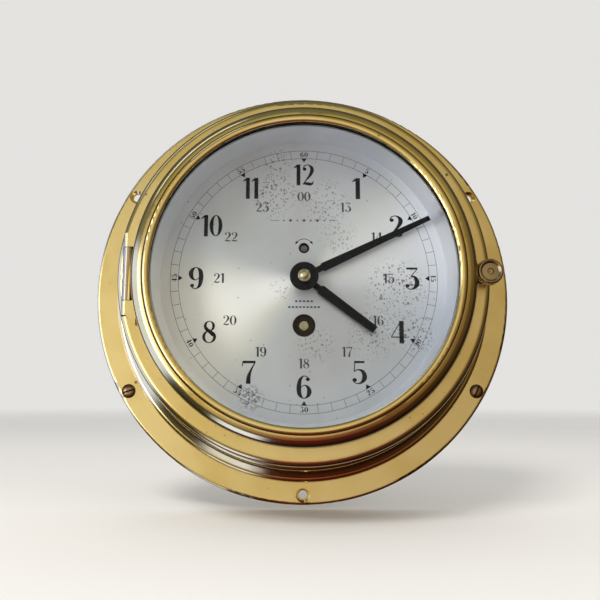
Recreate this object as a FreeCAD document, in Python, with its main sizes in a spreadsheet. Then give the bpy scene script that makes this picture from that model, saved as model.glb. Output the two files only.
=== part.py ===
import FreeCAD, Part
import math
import os

import Sketcher
from FreeCAD import Placement, Rotation, Vector

# A ship's deck clock: a turned brass case with a broad fixing flange, a hinged glazed
# bezel closed by a thumb screw, a silvered dial and an eight-day lever movement.
#
# Every piece is drawn in the clock's own frame: X to 3 o'clock, Y to 12 o'clock and Z out
# of the bulkhead towards the reader, with Z = 0 on the back face of the flange. stand()
# then turns it upright, so in the finished part +Z points to 12 o'clock, the dial faces -Y
# and the origin is the centre of the flange's back face.

# ---------------------------------------------------------------- driving dimensions (mm)

SIZES = {
    # case, a body of revolution: radii, and heights above the bulkhead
    "flange_radius": 102.5, "flange_thickness": 3.0, "flange_edge_round": 1.6,
    "base_radius": 91.5, "base_round": 2.6, "cove_foot_radius": 88.9, "cove_foot_height": 8.2,
    "cove_radius": 8.6, "cove_top_radius": 84.4, "cove_top_height": 17.0,
    "bead_radius": 2.85, "bead_low_radius": 83.6, "bead_low_height": 17.8,
    "bead_top_radius": 81.0, "bead_top_height": 22.7,
    "drum_radius": 80.2, "drum_round": 3.0, "shelf_height": 48.0, "ledge_height": 41.4,
    "cavity_radius": 77.2, "rim_outer_radius": 66.4, "rim_inner_radius": 64.6,
    "rim_height": 57.4, "edge_break": 0.4,
    "cover_seat_radius": 84.2, "cover_seat_depth": 1.8, "cover_radius": 84.0,
    "cover_thickness": 1.5,
    # fixing holes in the flange and the two screws that stand in them
    "fixing_circle_radius": 97.75, "fixing_hole_radius": 2.1, "fixing_sink_radius": 3.4,
    "screw_head_radius": 3.3, "screw_head_rise": 0.8, "screw_shank_radius": 1.75,
    "screw_neck_radius": 1.9, "screw_length": 19.0, "screw_point": 4.0, "slot_width": 0.8,
    "slot_depth": 0.9,
    # hinge at 9 o'clock
    "hinge_offset": 75.0, "hinge_height": 48.5, "knuckle_radius": 2.1, "knuckle_length": 22.6,
    "hinge_pin_radius": 0.9, "hinge_bore_radius": 0.93, "lug_gap": 0.3, "lug_length": 6.0,
    "lug_flare": 4.2, "lug_flare_low": 4.4, "hinge_slot_outer": 77.5,
    "hinge_slot_inner": 72.3, "hinge_slot_depth": 2.7, "hinge_web_width": 2.4,
    # bezel and glass
    "bezel_radius": 71.8, "bezel_bore_radius": 67.0, "bezel_foot": 48.15, "bezel_side_top": 55.7,
    "bezel_roll_radius": 66.5, "bezel_roll_top": 61.3, "bezel_roll_round": 5.75,
    "bezel_groove_radius": 65.9, "bezel_ring_height": 61.9, "bezel_ring_round": 2.0,
    "bezel_opening_radius": 63.3, "bezel_lip_height": 60.6,
    "glass_radius": 66.6, "glass_back": 59.0, "glass_front": 62.2, "glass_flat_radius": 55.8,
    "glass_edge_radius": 62.9, "glass_ring_inner": 64.7, "glass_ring_back": 57.9,
    "clasp_reach": 77.5, "clasp_rise": 0.3, "clasp_width": 9.4, "clasp_low": 48.2,
    "clasp_thickness": 2.4, "clasp_hole_radius": 1.55,
    # thumb screw
    "thumb_shank_radius": 1.5, "thumb_shank_low": 44.4, "thumb_case_hole_radius": 2.1,
    "thumb_case_hole_depth": 4.6, "thumb_neck_radius": 3.0, "thumb_knob_radius": 5.55,
    "thumb_knob_low": 51.4, "thumb_knob_top": 56.0, "thumb_dish_radius": 4.3,
    "thumb_dish_depth": 0.7, "thumb_dimple_radius": 1.1, "clip_radius": 1.95,
    "clip_low": 45.0, "clip_thickness": 0.6, "knurl_count": 48, "knurl_depth": 0.22,
    # dial and its silvered surround
    "dial_back": 39.0, "dial_thickness": 1.2, "dial_radius": 70.2, "dial_opening_radius": 62.9,
    "surround_wall_radius": 64.3, "surround_top_radius": 63.7, "surround_height": 55.6,
    "dial_centre_hole": 3.6, "dial_screw_circle": 67.4, "dial_screw_radius": 1.25,
    "dial_screw_head": 2.3, "dial_screw_head_height": 1.6, "dial_screw_length": 4.8,
    "winding_drop": 20.8, "winding_hole_radius": 5.0, "regulator_rise": 13.64,
    "regulator_hole_radius": 2.4, "foot_circle": 38.0, "foot_radius": 1.6, "foot_stud": 0.9,
    "foot_stud_hole": 0.95, "nut_radius": 2.3, "nut_height": 1.5,
    # hands
    "minute_hand_reach": 60.7, "minute_hand_width": 3.8, "minute_hand_tip": 2.1,
    "minute_hand_angle": 64.6, "hour_hand_reach": 38.3, "hour_hand_width": 4.2,
    "hour_hand_tip": 3.3, "hour_hand_angle": 127.0,
    "hand_thickness": 0.9, "hand_neck_width": 2.6, "hand_shoulder": 8.4,
    "minute_hand_height": 45.0, "hour_hand_height": 42.4, "minute_boss_radius": 6.2,
    "hour_boss_radius": 5.4, "hand_nut_radius": 2.7, "hand_nut_height": 3.6,
    # movement plates
    "plate_radius": 41.0, "plate_thickness": 2.0, "front_plate_back": 34.0,
    "back_plate_back": 14.0, "pillar_circle": 36.5, "pillar_radius": 3.0,
    "pillar_screw_radius": 1.2, "pillar_screw_head": 2.4, "pillar_screw_length": 5.0,
    # winding work and mainspring barrel
    "barrel_radius": 15.4, "barrel_wall": 1.2, "barrel_floor_back": 17.4, "barrel_height": 10.0,
    "wheel_thickness": 1.0, "great_wheel_thickness": 2.0, "winding_arbor_radius": 2.0,
    "winding_core_radius": 3.2, "winding_square": 2.9, "winding_arbor_front": 39.9,
    "arbor_pivot_radius": 1.2, "running_clearance": 0.03, "spring_thickness": 0.35,
    "spring_coils": 9, "ratchet_teeth": 24, "ratchet_radius": 8.0, "ratchet_root": 7.1,
    "ratchet_back": 36.4, "ratchet_thickness": 1.2, "ratchet_hub_radius": 4.2,
    "ratchet_hub_step": 3.1, "ratchet_hub_rise": 0.7,
    "click_length": 8.0, "click_lift": 1.6, "click_direction": 210.0, "click_screw_radius": 1.2,
    # train: modules and centre angles (degrees from 3 o'clock, seen from the front)
    "barrel_module": 0.42, "intermediate_module": 0.35, "centre_module": 0.3,
    "third_module": 0.25, "fourth_module": 0.2, "motion_module": 0.3,
    "third_direction": 155.0, "fourth_direction": 110.0, "escape_direction": 50.0,
    "arbor_radius": 0.9, "pivot_radius": 0.5, "tooth_clearance": 0.035,
    # escapement
    "escape_radius": 4.6, "escape_root": 3.4, "escape_thickness": 0.3, "escape_teeth": 15,
    "escape_back": 10.85, "pallet_span": 30.0, "pallet_width": 8.0, "pallet_lift": 0.139,
    "pallet_length": 2.0, "lever_back": 10.7, "lever_thickness": 0.6, "escape_phase": 12.8,
    "lever_fork_reach": 3.75, "cock_thickness": 0.8, "cock_screw_radius": 0.7,
    "cock_screw_head": 1.5, "escape_cock_back": 9.4,
    "balance_rise": 23.44, "balance_radius": 8.2, "balance_back": 8.0, "balance_thickness": 1.0,
    "balance_rim": 1.1, "staff_radius": 0.6, "roller_radius": 2.0, "roller_back": 9.65,
    "impulse_pin_radius": 0.25, "impulse_pin_circle": 1.55, "hairspring_back": 6.0,
    "hairspring_height": 0.5, "hairspring_radius": 4.6, "hairspring_coils": 8,
    "balance_cock_back": 3.6, "balance_cock_thickness": 1.5, "cock_foot": 12.6,
    "index_back": 2.5, "index_thickness": 0.7, "index_module": 0.2, "index_teeth": 80,
    "regulator_pinion_teeth": 18, "regulator_arbor_radius": 0.7, "regulator_square": 1.3,
    "index_boss_radius": 1.4, "curb_angle": 340.0, "hairspring_turn": 75.0,
}

WHEEL_TEETH = {"great": 84, "intermediate": 72, "centre": 80, "third": 75, "fourth": 80,
               "minute": 36, "hour": 40}
PINION_TEETH = {"intermediate": 14, "centre": 12, "third": 10, "fourth": 10, "escape": 8,
                "cannon": 12, "minute": 10}

doc = FreeCAD.newDocument("deck_clock")
sheet = doc.addObject("Spreadsheet::Sheet", "Dimensions")
for row, (alias, number) in enumerate(SIZES.items(), start=1):
    sheet.set("A%d" % row, alias)
    sheet.set("B%d" % row, str(number))
    sheet.setAlias("B%d" % row, alias)
doc.recompute()


class Size:
    """A number together with the spreadsheet expression that gives it."""

    def __init__(self, number, text):
        self.number = number
        self.text = text

    def combine(self, other, sign, swap=False):
        other = as_size(other)
        left, right = (other, self) if swap else (self, other)
        results = {"+": left.number + right.number, "-": left.number - right.number,
                   "*": left.number * right.number}
        number = left.number / right.number if sign == "/" else results[sign]
        return Size(number, "(%s %s %s)" % (left.text, sign, right.text))

    def __add__(self, other):
        return self.combine(other, "+")

    def __radd__(self, other):
        return self.combine(other, "+", swap=True)

    def __sub__(self, other):
        return self.combine(other, "-")

    def __rsub__(self, other):
        return self.combine(other, "-", swap=True)

    def __mul__(self, other):
        return self.combine(other, "*")

    def __rmul__(self, other):
        return self.combine(other, "*", swap=True)

    def __truediv__(self, other):
        return self.combine(other, "/")

    def __neg__(self):
        return 0 - self

    def __float__(self):
        return float(self.number)


def as_size(value):
    return value if isinstance(value, Size) else Size(float(value), repr(float(value)))


class Dimensions:
    """Reads a spreadsheet dimension by its alias: dims.flange_radius."""

    def __getattr__(self, alias):
        return Size(float(sheet.get(alias)), "Dimensions." + alias)


dims = Dimensions()
pieces = []


def polar(radius, degrees):
    """A point at a radius and an angle from 3 o'clock, as two Sizes or numbers."""
    angle = math.radians(float(degrees))
    return radius * math.cos(angle), radius * math.sin(angle)


def stand(x=0.0, y=0.0, z=0.0, turn=0.0):
    """Placement of a piece drawn about its own Z axis at clock-frame position x, y, z."""
    upright = Rotation(Vector(1, 0, 0), 90)
    place = Vector(float(x), -float(z), float(y))
    return Placement(place, upright.multiply(Rotation(Vector(0, 0, 1), float(turn))))


def keep(piece, label, placement=None):
    """Registers a finished piece under the name of its file."""
    piece.Label = label
    piece.Placement = placement or stand()
    pieces.append(piece)
    return piece


# ---------------------------------------------------------------- sketches and features

def bind(feature, name, size):
    size = as_size(size)
    setattr(feature, name, size.number)
    if "Dimensions." in size.text:
        feature.setExpression(name, size.text)


def origin_part(body, role):
    return [item for item in body.Origin.OriginFeatures if item.Role == role][0]


def new_sketch(body, role="XY_Plane", height=0.0):
    """An empty sketch on one of the body's own origin planes, raised by a height."""
    sketch = body.newObject("Sketcher::SketchObject", "Sketch")
    sketch.AttachmentSupport = [(origin_part(body, role), "")]
    sketch.MapMode = "FlatFace"
    height = as_size(height)
    sketch.AttachmentOffset = Placement(Vector(0, 0, height.number), Rotation())
    if "Dimensions." in height.text:
        sketch.setExpression("AttachmentOffset.Base.z", height.text)
    return sketch


def constrain(sketch, kind, *where, size):
    """Adds a dimensional constraint, bound to the spreadsheet where its size comes from it."""
    size = as_size(size)
    index = sketch.addConstraint(Sketcher.Constraint(kind, *where, size.number))
    if "Dimensions." in size.text:
        sketch.setExpression("Constraints[%d]" % index, size.text)


def pin_point(sketch, line, end, x, y):
    """Fixes one point of the geometry at x, y, on an axis where a coordinate is zero."""
    for value, kind, axis in ((x, "DistanceX", -2), (y, "DistanceY", -1)):
        if float(value) == 0.0:
            sketch.addConstraint(Sketcher.Constraint("PointOnObject", line, end, axis))
        else:
            constrain(sketch, kind, -1, 1, line, end, size=value)


def arc_between(start, end, radius):
    """The minor arc from start to end; a positive radius bulges to the right of the way."""
    chord = end - start
    middle = (start + end) * 0.5
    side = Vector(-chord.y, chord.x, 0).normalize()
    rise = math.sqrt(max(radius * radius - chord.Length ** 2 / 4.0, 0.0))
    bulge = radius / abs(radius)
    centre = middle + side * (rise * bulge)
    crown = centre - side * (abs(radius) * bulge)
    return Part.Arc(start, crown, end)


def draw_outline(sketch, corners):
    """A closed outline. A corner is (x, y), or (x, y, radius) where an arc arrives at it."""
    points = [Vector(float(c[0]), float(c[1]), 0) for c in corners]
    ends = []
    for index, corner in enumerate(corners):
        start, end = points[index - 1], points[index]
        if len(corner) == 3:
            radius = float(corner[2])
            arc = sketch.addGeometry(arc_between(start, end, radius), False)
            constrain(sketch, "Radius", arc, size=abs_size(corner[2]))
            ends.append((arc, 1, 2) if radius > 0 else (arc, 2, 1))
        else:
            line = sketch.addGeometry(Part.LineSegment(start, end), False)
            ends.append((line, 1, 2))
    for index, corner in enumerate(corners):
        line, last = ends[index][0], ends[index][2]
        following, next_first = ends[(index + 1) % len(ends)][:2]
        joint = Sketcher.Constraint("Coincident", line, last, following, next_first)
        sketch.addConstraint(joint)
        pin_point(sketch, line, last, corner[0], corner[1])


def abs_size(size):
    size = as_size(size)
    return size if size.number > 0 else 0 - size


def draw_circle(sketch, x, y, radius):
    centre = Vector(float(x), float(y), 0)
    circle = sketch.addGeometry(Part.Circle(centre, Vector(0, 0, 1), float(radius)), False)
    constrain(sketch, "Radius", circle, size=radius)
    pin_point(sketch, circle, 3, x, y)


def new_body(name):
    return doc.addObject("PartDesign::Body", name)


def revolve(body, corners):
    """Turns an outline of (radius, height) corners about the body's Z axis."""
    sketch = new_sketch(body, "XZ_Plane")
    draw_outline(sketch, corners)
    turned = body.newObject("PartDesign::Revolution", "Turned")
    turned.Profile = sketch
    turned.ReferenceAxis = (sketch, ["V_Axis"])
    turned.Angle = 360.0
    return turned


def pad(body, low, thickness, outline=None, circles=()):
    """Adds a plate from height low, outlined by corners or by the first of the circles."""
    sketch = new_sketch(body, "XY_Plane", low)
    if outline:
        draw_outline(sketch, outline)
    for x, y, radius in circles:
        draw_circle(sketch, x, y, radius)
    plate = body.newObject("PartDesign::Pad", "Plate")
    plate.Profile = sketch
    bind(plate, "Length", thickness)
    return plate


def pocket(body, top, depth, outline=None, circles=()):
    """Cuts down from height top, and makes sure that something was cut."""
    doc.recompute()
    before = body.Shape.Volume
    sketch = new_sketch(body, "XY_Plane", top)
    if outline:
        draw_outline(sketch, outline)
    for x, y, radius in circles:
        draw_circle(sketch, x, y, radius)
    cut = body.newObject("PartDesign::Pocket", "Cut")
    cut.Profile = sketch
    bind(cut, "Length", depth)
    doc.recompute()
    if not body.Shape.Volume < before:
        raise ValueError("a pocket in %s cuts nothing" % body.Label)
    return cut


def sink(body, x, y, low, low_radius, high_radius, depth):
    """Cuts a conical countersink that opens upwards from height low."""
    cone = body.newObject("PartDesign::SubtractiveCone", "Sink")
    bind(cone, "Radius1", low_radius)
    bind(cone, "Radius2", high_radius)
    bind(cone, "Height", depth)
    for axis, size in (("x", x), ("y", y), ("z", low)):
        cone.setExpression("Placement.Base." + axis, as_size(size).text)
    return cone


def polar_copies(body, features, count):
    pattern = body.newObject("PartDesign::PolarPattern", "Around")
    pattern.Originals = features
    pattern.Axis = (origin_part(body, "Z_Axis"), [""])
    pattern.Angle = 360.0
    pattern.Occurrences = int(count)
    body.Tip = pattern
    return pattern


def disc(name, radius, low, thickness, holes=()):
    """A flat round plate about the origin with round holes."""
    body = new_body(name)
    pad(body, low, thickness, circles=[(0, 0, radius)] + list(holes))
    return body


def spindle(name, steps):
    """A turned shaft from steps of (radius, end height); the first entry is the low end."""
    body = new_body(name)
    low = steps[0]
    corners = [(0, low)]
    height = low
    for radius, top in steps[1:]:
        corners += [(radius, height), (radius, top)]
        height = top
    corners.append((0, height))
    revolve(body, corners)
    return body


def group(name, members):
    """Several separate solids that share one node."""
    compound = doc.addObject("Part::Compound", name)
    compound.Links = members
    return compound


def fuse(name, members):
    joined = doc.addObject("Part::MultiFuse", name)
    joined.Shapes = members
    return joined


def cylinder(name, radius, height, low=0.0, x=0.0, y=0.0):
    solid = doc.addObject("Part::Cylinder", name)
    bind(solid, "Radius", radius)
    bind(solid, "Height", height)
    for axis, size in (("x", x), ("y", y), ("z", low)):
        solid.setExpression("Placement.Base." + axis, as_size(size).text)
    return solid


def shape_feature(name, shape):
    """A Part::Feature for a form such as a gear's teeth or a coiled spring."""
    feature = doc.addObject("Part::Feature", name)
    feature.Shape = shape
    return feature


# ---------------------------------------------------------------- gear teeth and springs

def epicycloid(pitch_radius, rolling_radius, roll):
    """Radius and angle of a point traced by a circle rolling round the pitch circle."""
    reach = pitch_radius + rolling_radius
    turned = reach / rolling_radius * roll
    x = reach * math.cos(roll) - rolling_radius * math.cos(turned)
    y = reach * math.sin(roll) - rolling_radius * math.sin(turned)
    return math.hypot(x, y), math.atan2(y, x)


def tooth_flank(pitch_radius, rolling_radius, tip_radius, half_angle):
    """(radius, half tooth angle) pairs from the pitch circle out to the tip."""
    flank = [(pitch_radius, half_angle)]
    roll = 0.0
    while flank[-1][0] < tip_radius:
        roll += 0.004
        radius, lean = epicycloid(pitch_radius, rolling_radius, roll)
        if lean >= half_angle * 0.9:
            break
        flank.append((min(radius, tip_radius), half_angle - lean))
    last = len(flank) - 1
    return [flank[0], flank[last // 2], flank[last]]


def gear_wire(teeth, module, mate_teeth, share, addendum, dedendum, sector=None):
    """Closed outline of a cycloidal gear; share is the tooth's part of the pitch."""
    pitch_radius = module * teeth / 2.0
    rolling_radius = module * mate_teeth / 4.0
    tip_radius = pitch_radius + addendum * module
    root_radius = pitch_radius - dedendum * module
    half_angle = math.pi * share / teeth - float(dims.tooth_clearance) / (2.0 * pitch_radius)
    flank = tooth_flank(pitch_radius, rolling_radius, tip_radius, half_angle)
    rising = [(root_radius, -half_angle)] + [(r, -a) for r, a in flank]
    falling = [(r, a) for r, a in reversed(flank)] + [(root_radius, half_angle)]
    points = []
    for tooth in range(*(sector or (0, teeth))):
        middle = 2.0 * math.pi * tooth / teeth
        for radius, angle in rising + falling:
            angle += middle
            points.append(Vector(radius * math.cos(angle), radius * math.sin(angle), 0))
    if sector:
        points.append(Vector(0, 0, 0))
    return Part.makePolygon(points + [points[0]])


def wheel_wire(teeth, module, mate_teeth):
    return gear_wire(teeth, module, mate_teeth, 0.5, 0.9, 1.0)


def pinion_wire(teeth, module, mate_teeth):
    return gear_wire(teeth, module, mate_teeth, 0.42, 0.55, 1.3)


def circle_wire(radius, x=0.0, y=0.0):
    return Part.Wire([Part.makeCircle(float(radius), Vector(float(x), float(y), 0))])


def prism(wires, thickness, low=0.0):
    """Extrudes an outer wire with any inner wires as holes."""
    face = Part.makeFace(wires, "Part::FaceMakerBullseye")
    solid = face.extrude(Vector(0, 0, float(thickness)))
    solid.translate(Vector(0, 0, float(low)))
    return solid


def crossing_wires(rim_radius, hub_radius, arms, arm_width):
    """The openings between a wheel's arms, each bounded by two arcs and two lines."""
    wires = []
    half = arm_width / 2.0
    for index in range(arms):
        first = 2.0 * math.pi * index / arms
        last = first + 2.0 * math.pi / arms
        corners = []
        for radius, angle, sign in ((hub_radius, first, 1), (rim_radius, first, 1),
                                    (rim_radius, last, -1), (hub_radius, last, -1)):
            turn = angle + sign * math.asin(half / radius)
            corners.append(Vector(radius * math.cos(turn), radius * math.sin(turn), 0))
        middle = (first + last) / 2.0
        rim = Vector(rim_radius * math.cos(middle), rim_radius * math.sin(middle), 0)
        hub = Vector(hub_radius * math.cos(middle), hub_radius * math.sin(middle), 0)
        wires.append(Part.Wire([
            Part.LineSegment(corners[0], corners[1]).toShape(),
            Part.Arc(corners[1], rim, corners[2]).toShape(),
            Part.LineSegment(corners[2], corners[3]).toShape(),
            Part.Arc(corners[3], hub, corners[0]).toShape()]))
    return wires


def train_wheel(name, teeth, module, mate_teeth, bore, thickness, hub_radius):
    """A crossed-out brass wheel with five arms."""
    rim = module * teeth / 2.0 - 1.0 * module - 1.1
    wires = [wheel_wire(teeth, module, mate_teeth), circle_wire(bore)]
    wires += crossing_wires(rim, hub_radius, arms=5, arm_width=1.2)
    return shape_feature(name, prism(wires, thickness))


def spiral_strip(inner, outer, coils, thickness, height, steps_per_turn=24):
    """A flat spring of even pitch, wound from an inner to an outer radius."""
    turns = int(coils)
    steps = turns * steps_per_turn
    edges = ([], [])
    for step in range(steps + 1):
        angle = 2.0 * math.pi * step / steps_per_turn
        radius = inner + (outer - inner) * step / steps
        for side, edge in zip((-0.5, 0.5), edges):
            reach = radius + side * thickness
            edge.append(Vector(reach * math.cos(angle), reach * math.sin(angle), 0))
    loop = edges[0] + edges[1][::-1]
    return prism([Part.makePolygon(loop + [loop[0]])], height)


def mesh_turn(teeth, direction):
    """Turn that points a tooth of a gear along a direction, in degrees."""
    return float(direction) % (360.0 / teeth)


def gap_turn(teeth, direction):
    """Turn that points a gap between two teeth along a direction, in degrees."""
    return mesh_turn(teeth, direction) + 180.0 / teeth


# ---------------------------------------------------------------- case

def case_profile():
    """Half section of the case, anticlockwise from the back edge of the cover's seat."""
    d = dims
    drum_top = d.shelf_height - d.drum_round
    break_ = d.edge_break
    return [
        (d.cover_seat_radius, 0),
        (d.flange_radius - 1, 0),
        (d.flange_radius, 1),
        (d.flange_radius, d.flange_thickness - d.flange_edge_round),
        (d.flange_radius - d.flange_edge_round, d.flange_thickness, d.flange_edge_round),
        (d.base_radius, d.flange_thickness),
        (d.base_radius, d.cove_foot_height - d.base_round - break_),
        (d.base_radius - d.base_round + break_, d.cove_foot_height - break_, d.base_round),
        (d.cove_foot_radius, d.cove_foot_height),
        (d.cove_top_radius, d.cove_top_height, -d.cove_radius),
        (d.bead_low_radius, d.bead_low_height),
        (d.bead_top_radius, d.bead_top_height, d.bead_radius),
        (d.drum_radius, d.bead_top_height + break_),
        (d.drum_radius, drum_top),
        (d.drum_radius - d.drum_round, d.shelf_height, d.drum_round),
        (d.rim_outer_radius, d.shelf_height),
        (d.rim_outer_radius, d.rim_height - break_),
        (d.rim_outer_radius - break_, d.rim_height),
        (d.rim_inner_radius + break_, d.rim_height),
        (d.rim_inner_radius, d.rim_height - break_),
        (d.rim_inner_radius, d.ledge_height),
        (d.cavity_radius, d.ledge_height),
        (d.cavity_radius, d.cover_seat_depth),
        (d.cover_seat_radius, d.cover_seat_depth),
    ]


SCREWED_ANGLES = [210.0, 330.0]
QUARTER_ANGLES = [45.0, 135.0, 225.0, 315.0]
FOOT_ANGLES = [20.0, 160.0, 200.0, 340.0]


def case_body():
    d = dims
    body = new_body("CaseBody")
    revolve(body, case_profile())
    hole_x, hole_y = polar(d.fixing_circle_radius, 30.0)
    hole = pocket(body, d.flange_thickness, d.flange_thickness,
                  circles=[(hole_x, hole_y, d.fixing_hole_radius)])
    polar_copies(body, [hole], 6)
    sink_depth = d.fixing_sink_radius - d.fixing_hole_radius
    cone = sink(body, hole_x, hole_y, d.flange_thickness - sink_depth, d.fixing_hole_radius,
                d.fixing_sink_radius, sink_depth)
    polar_copies(body, [cone], 6)
    cover_screw_x, cover_screw_y = polar(d.cover_seat_radius - 3.5, 45.0)
    cover_hole = pocket(body, d.cover_seat_depth + 5, 5,
                        circles=[(cover_screw_x, cover_screw_y, d.dial_screw_radius)])
    polar_copies(body, [cover_hole], 4)
    dial_screw_x, dial_screw_y = polar(d.dial_screw_circle, 45.0)
    dial_hole = pocket(body, d.ledge_height + 4, 4,
                       circles=[(dial_screw_x, dial_screw_y, d.dial_screw_radius)])
    polar_copies(body, [dial_hole], 4)
    half = d.knuckle_length / 2 + d.lug_gap + d.lug_length + 0.4
    pocket(body, d.shelf_height + 1, d.hinge_slot_depth + 1,
           outline=box_corners(-d.hinge_slot_outer, -half, -d.hinge_slot_inner, half))
    pocket(body, d.shelf_height, d.thumb_case_hole_depth,
           circles=[(d.clasp_reach, d.clasp_rise, d.thumb_case_hole_radius)])
    return keep(body, "case_body")


def box_corners(left, low, right, high):
    return [(left, low), (right, low), (right, high), (left, high)]


def back_cover():
    d = dims
    places = [polar(d.cover_seat_radius - 3.5, a) for a in QUARTER_ANGLES]
    low = d.cover_seat_depth - d.cover_thickness
    body = disc("BackCover", d.cover_radius, low, d.cover_thickness,
                [(x, y, d.dial_screw_radius + 0.1) for x, y in places])
    keep(body, "back_cover")
    screws = []
    for x, y in places:
        screw = spindle("CoverScrew", [low - 1.2, (d.dial_screw_head, low),
                                       (d.dial_screw_radius - 0.05, d.cover_seat_depth + 4)])
        pocket(screw, low - 0.8, 0.4,
               outline=box_corners(-3, -d.slot_width / 2, 3, d.slot_width / 2))
        screw.Placement = Placement(Vector(float(x), float(y), 0), Rotation())
        screws.append(screw)
    keep(group("CoverScrews", screws), "back_cover_screws")


def flange_screw(x, y, turn):
    """A raised countersunk wood screw, slotted, with a plain tapered point."""
    d = dims
    body = new_body("FlangeScrew")
    head_low = d.flange_thickness - (d.screw_head_radius - d.screw_neck_radius)
    crown = (d.screw_head_radius * d.screw_head_radius
             + d.screw_head_rise * d.screw_head_rise) / (2 * d.screw_head_rise)
    tip = d.flange_thickness - d.screw_length
    revolve(body, [(0, tip), (d.screw_shank_radius, tip + d.screw_point),
                   (d.screw_shank_radius, -0.3), (d.screw_neck_radius, -0.3),
                   (d.screw_neck_radius, head_low),
                   (d.screw_head_radius, d.flange_thickness),
                   (0, d.flange_thickness + d.screw_head_rise, crown)])
    half = d.slot_width / 2
    pocket(body, d.flange_thickness + d.screw_head_rise, d.slot_depth,
           outline=box_corners(-4, -half, 4, half))
    body.Placement = Placement(Vector(float(x), float(y), 0.02),
                               Rotation(Vector(0, 0, 1), turn))
    return body


def flange_screws():
    turns = (18.0, 64.0)
    screws = [flange_screw(*polar(dims.fixing_circle_radius, angle), turn)
              for angle, turn in zip(SCREWED_ANGLES, turns)]
    keep(group("FlangeScrews", screws), "flange_screws")


# ---------------------------------------------------------------- hinge and bezel

def along_hinge(name, radius, length, middle=0.0):
    """A round bar on the hinge's axis, which lies along Y at 9 o'clock."""
    bar = doc.addObject("Part::Cylinder", name)
    bind(bar, "Radius", radius)
    bind(bar, "Height", length)
    start = as_size(middle) - length / 2
    bar.Placement = Placement(Vector(-float(dims.hinge_offset), float(start),
                                     float(dims.hinge_height)), Rotation(Vector(1, 0, 0), -90))
    bar.setExpression("Placement.Base.x", (0 - dims.hinge_offset).text)
    bar.setExpression("Placement.Base.y", start.text)
    bar.setExpression("Placement.Base.z", dims.hinge_height.text)
    return bar


def cut(name, base, tool):
    result = doc.addObject("Part::Cut", name)
    result.Base = base
    result.Tool = tool
    return result


def case_knuckle():
    d = dims
    bar = along_hinge("KnuckleBar", d.knuckle_radius, d.knuckle_length)
    low = d.shelf_height - d.hinge_slot_depth
    web = new_body("KnuckleWeb")
    half_width = d.hinge_web_width / 2
    half_length = d.knuckle_length / 2
    pad(web, low, d.hinge_height - low,
        outline=box_corners(-d.hinge_offset - half_width, -half_length,
                            half_width - d.hinge_offset, half_length))
    solid = fuse("KnuckleSolid", [bar, web])
    bore = along_hinge("KnuckleBore", d.hinge_bore_radius, d.knuckle_length + 2)
    keep(cut("Knuckle", solid, bore), "hinge_knuckle")


def hinge_pin():
    d = dims
    length = d.knuckle_length + 2 * d.lug_gap + 2 * d.lug_length - 1
    keep(group("HingePin", [along_hinge("HingePinBar", d.hinge_pin_radius, length)]),
         "hinge_pin")


def hinge_lug(side):
    """One of the bezel's two hinge lugs; its outer corner is rounded above, cut off below."""
    d = dims
    inner = d.knuckle_length / 2 + d.lug_gap
    outer = inner + d.lug_length
    bar = along_hinge("LugBar", d.knuckle_radius, d.lug_length, side * (inner + d.lug_length / 2))
    arm = new_body("LugArm")
    low = d.bezel_foot + 0.1
    root = 0 - d.bezel_radius + 1.2
    tip = 0 - d.hinge_offset
    if side > 0:
        flare = outer + d.lug_flare
        outline = [(tip, inner), (root, inner), (root, flare), (root - 0.8, flare),
                   (tip, outer, 5.2)]
    else:
        flare = 0 - outer - d.lug_flare_low
        outline = [(tip, 0 - outer), (root, flare), (root, 0 - inner), (tip, 0 - inner)]
    pad(arm, low, d.hinge_height + d.knuckle_radius - low, outline=outline)
    return [bar, arm]


def bezel():
    d = dims
    ring = new_body("BezelRing")
    revolve(ring, [
        (d.bezel_bore_radius, d.bezel_foot),
        (d.bezel_radius, d.bezel_foot),
        (d.bezel_radius, d.bezel_side_top),
        (d.bezel_roll_radius, d.bezel_roll_top, d.bezel_roll_round),
        (d.bezel_groove_radius + 0.3, d.bezel_roll_top - 0.5),
        (d.bezel_groove_radius, d.bezel_roll_top - 0.2),
        (d.bezel_groove_radius - 0.1, d.bezel_ring_height - 0.1),
        (d.bezel_opening_radius, d.bezel_ring_height - 0.4, d.bezel_ring_round),
        (d.bezel_opening_radius, d.bezel_lip_height),
        (d.bezel_bore_radius, d.bezel_lip_height),
    ])
    clasp = new_body("ClaspLug")
    half = d.clasp_width / 2
    root = d.bezel_radius - 1.5
    low, high = d.clasp_rise - half, half + d.clasp_rise
    pad(clasp, d.clasp_low, d.clasp_thickness,
        outline=[(root, low), (d.clasp_reach, low), (d.clasp_reach + half, d.clasp_rise, half),
                 (d.clasp_reach, high, half), (root, high)])
    solid = fuse("BezelSolid", [ring, clasp] + hinge_lug(1) + hinge_lug(-1))
    screw_hole = cylinder("ClaspHole", d.clasp_hole_radius, d.clasp_thickness + 2,
                          d.clasp_low - 1, d.clasp_reach, d.clasp_rise)
    bore = along_hinge("LugBore", d.hinge_bore_radius, d.knuckle_length + 4 * d.lug_length)
    holes = fuse("BezelHoles", [screw_hole, bore])
    keep(cut("Bezel", solid, holes), "bezel")


def glazing():
    d = dims
    glass = new_body("Glass")
    revolve(glass, [(0, d.glass_back), (d.glass_radius, d.glass_back),
                    (d.glass_radius, d.bezel_lip_height - 0.02),
                    (d.glass_edge_radius, d.bezel_lip_height - 0.02),
                    (d.glass_flat_radius, d.glass_front), (0, d.glass_front)])
    keep(glass, "glass")
    ring = new_body("GlassRing")
    revolve(ring, [(d.glass_ring_inner, d.glass_ring_back),
                   (d.bezel_bore_radius, d.glass_ring_back),
                   (d.bezel_bore_radius, d.glass_back), (d.glass_ring_inner, d.glass_back)])
    keep(ring, "glass_retaining_ring")


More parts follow.
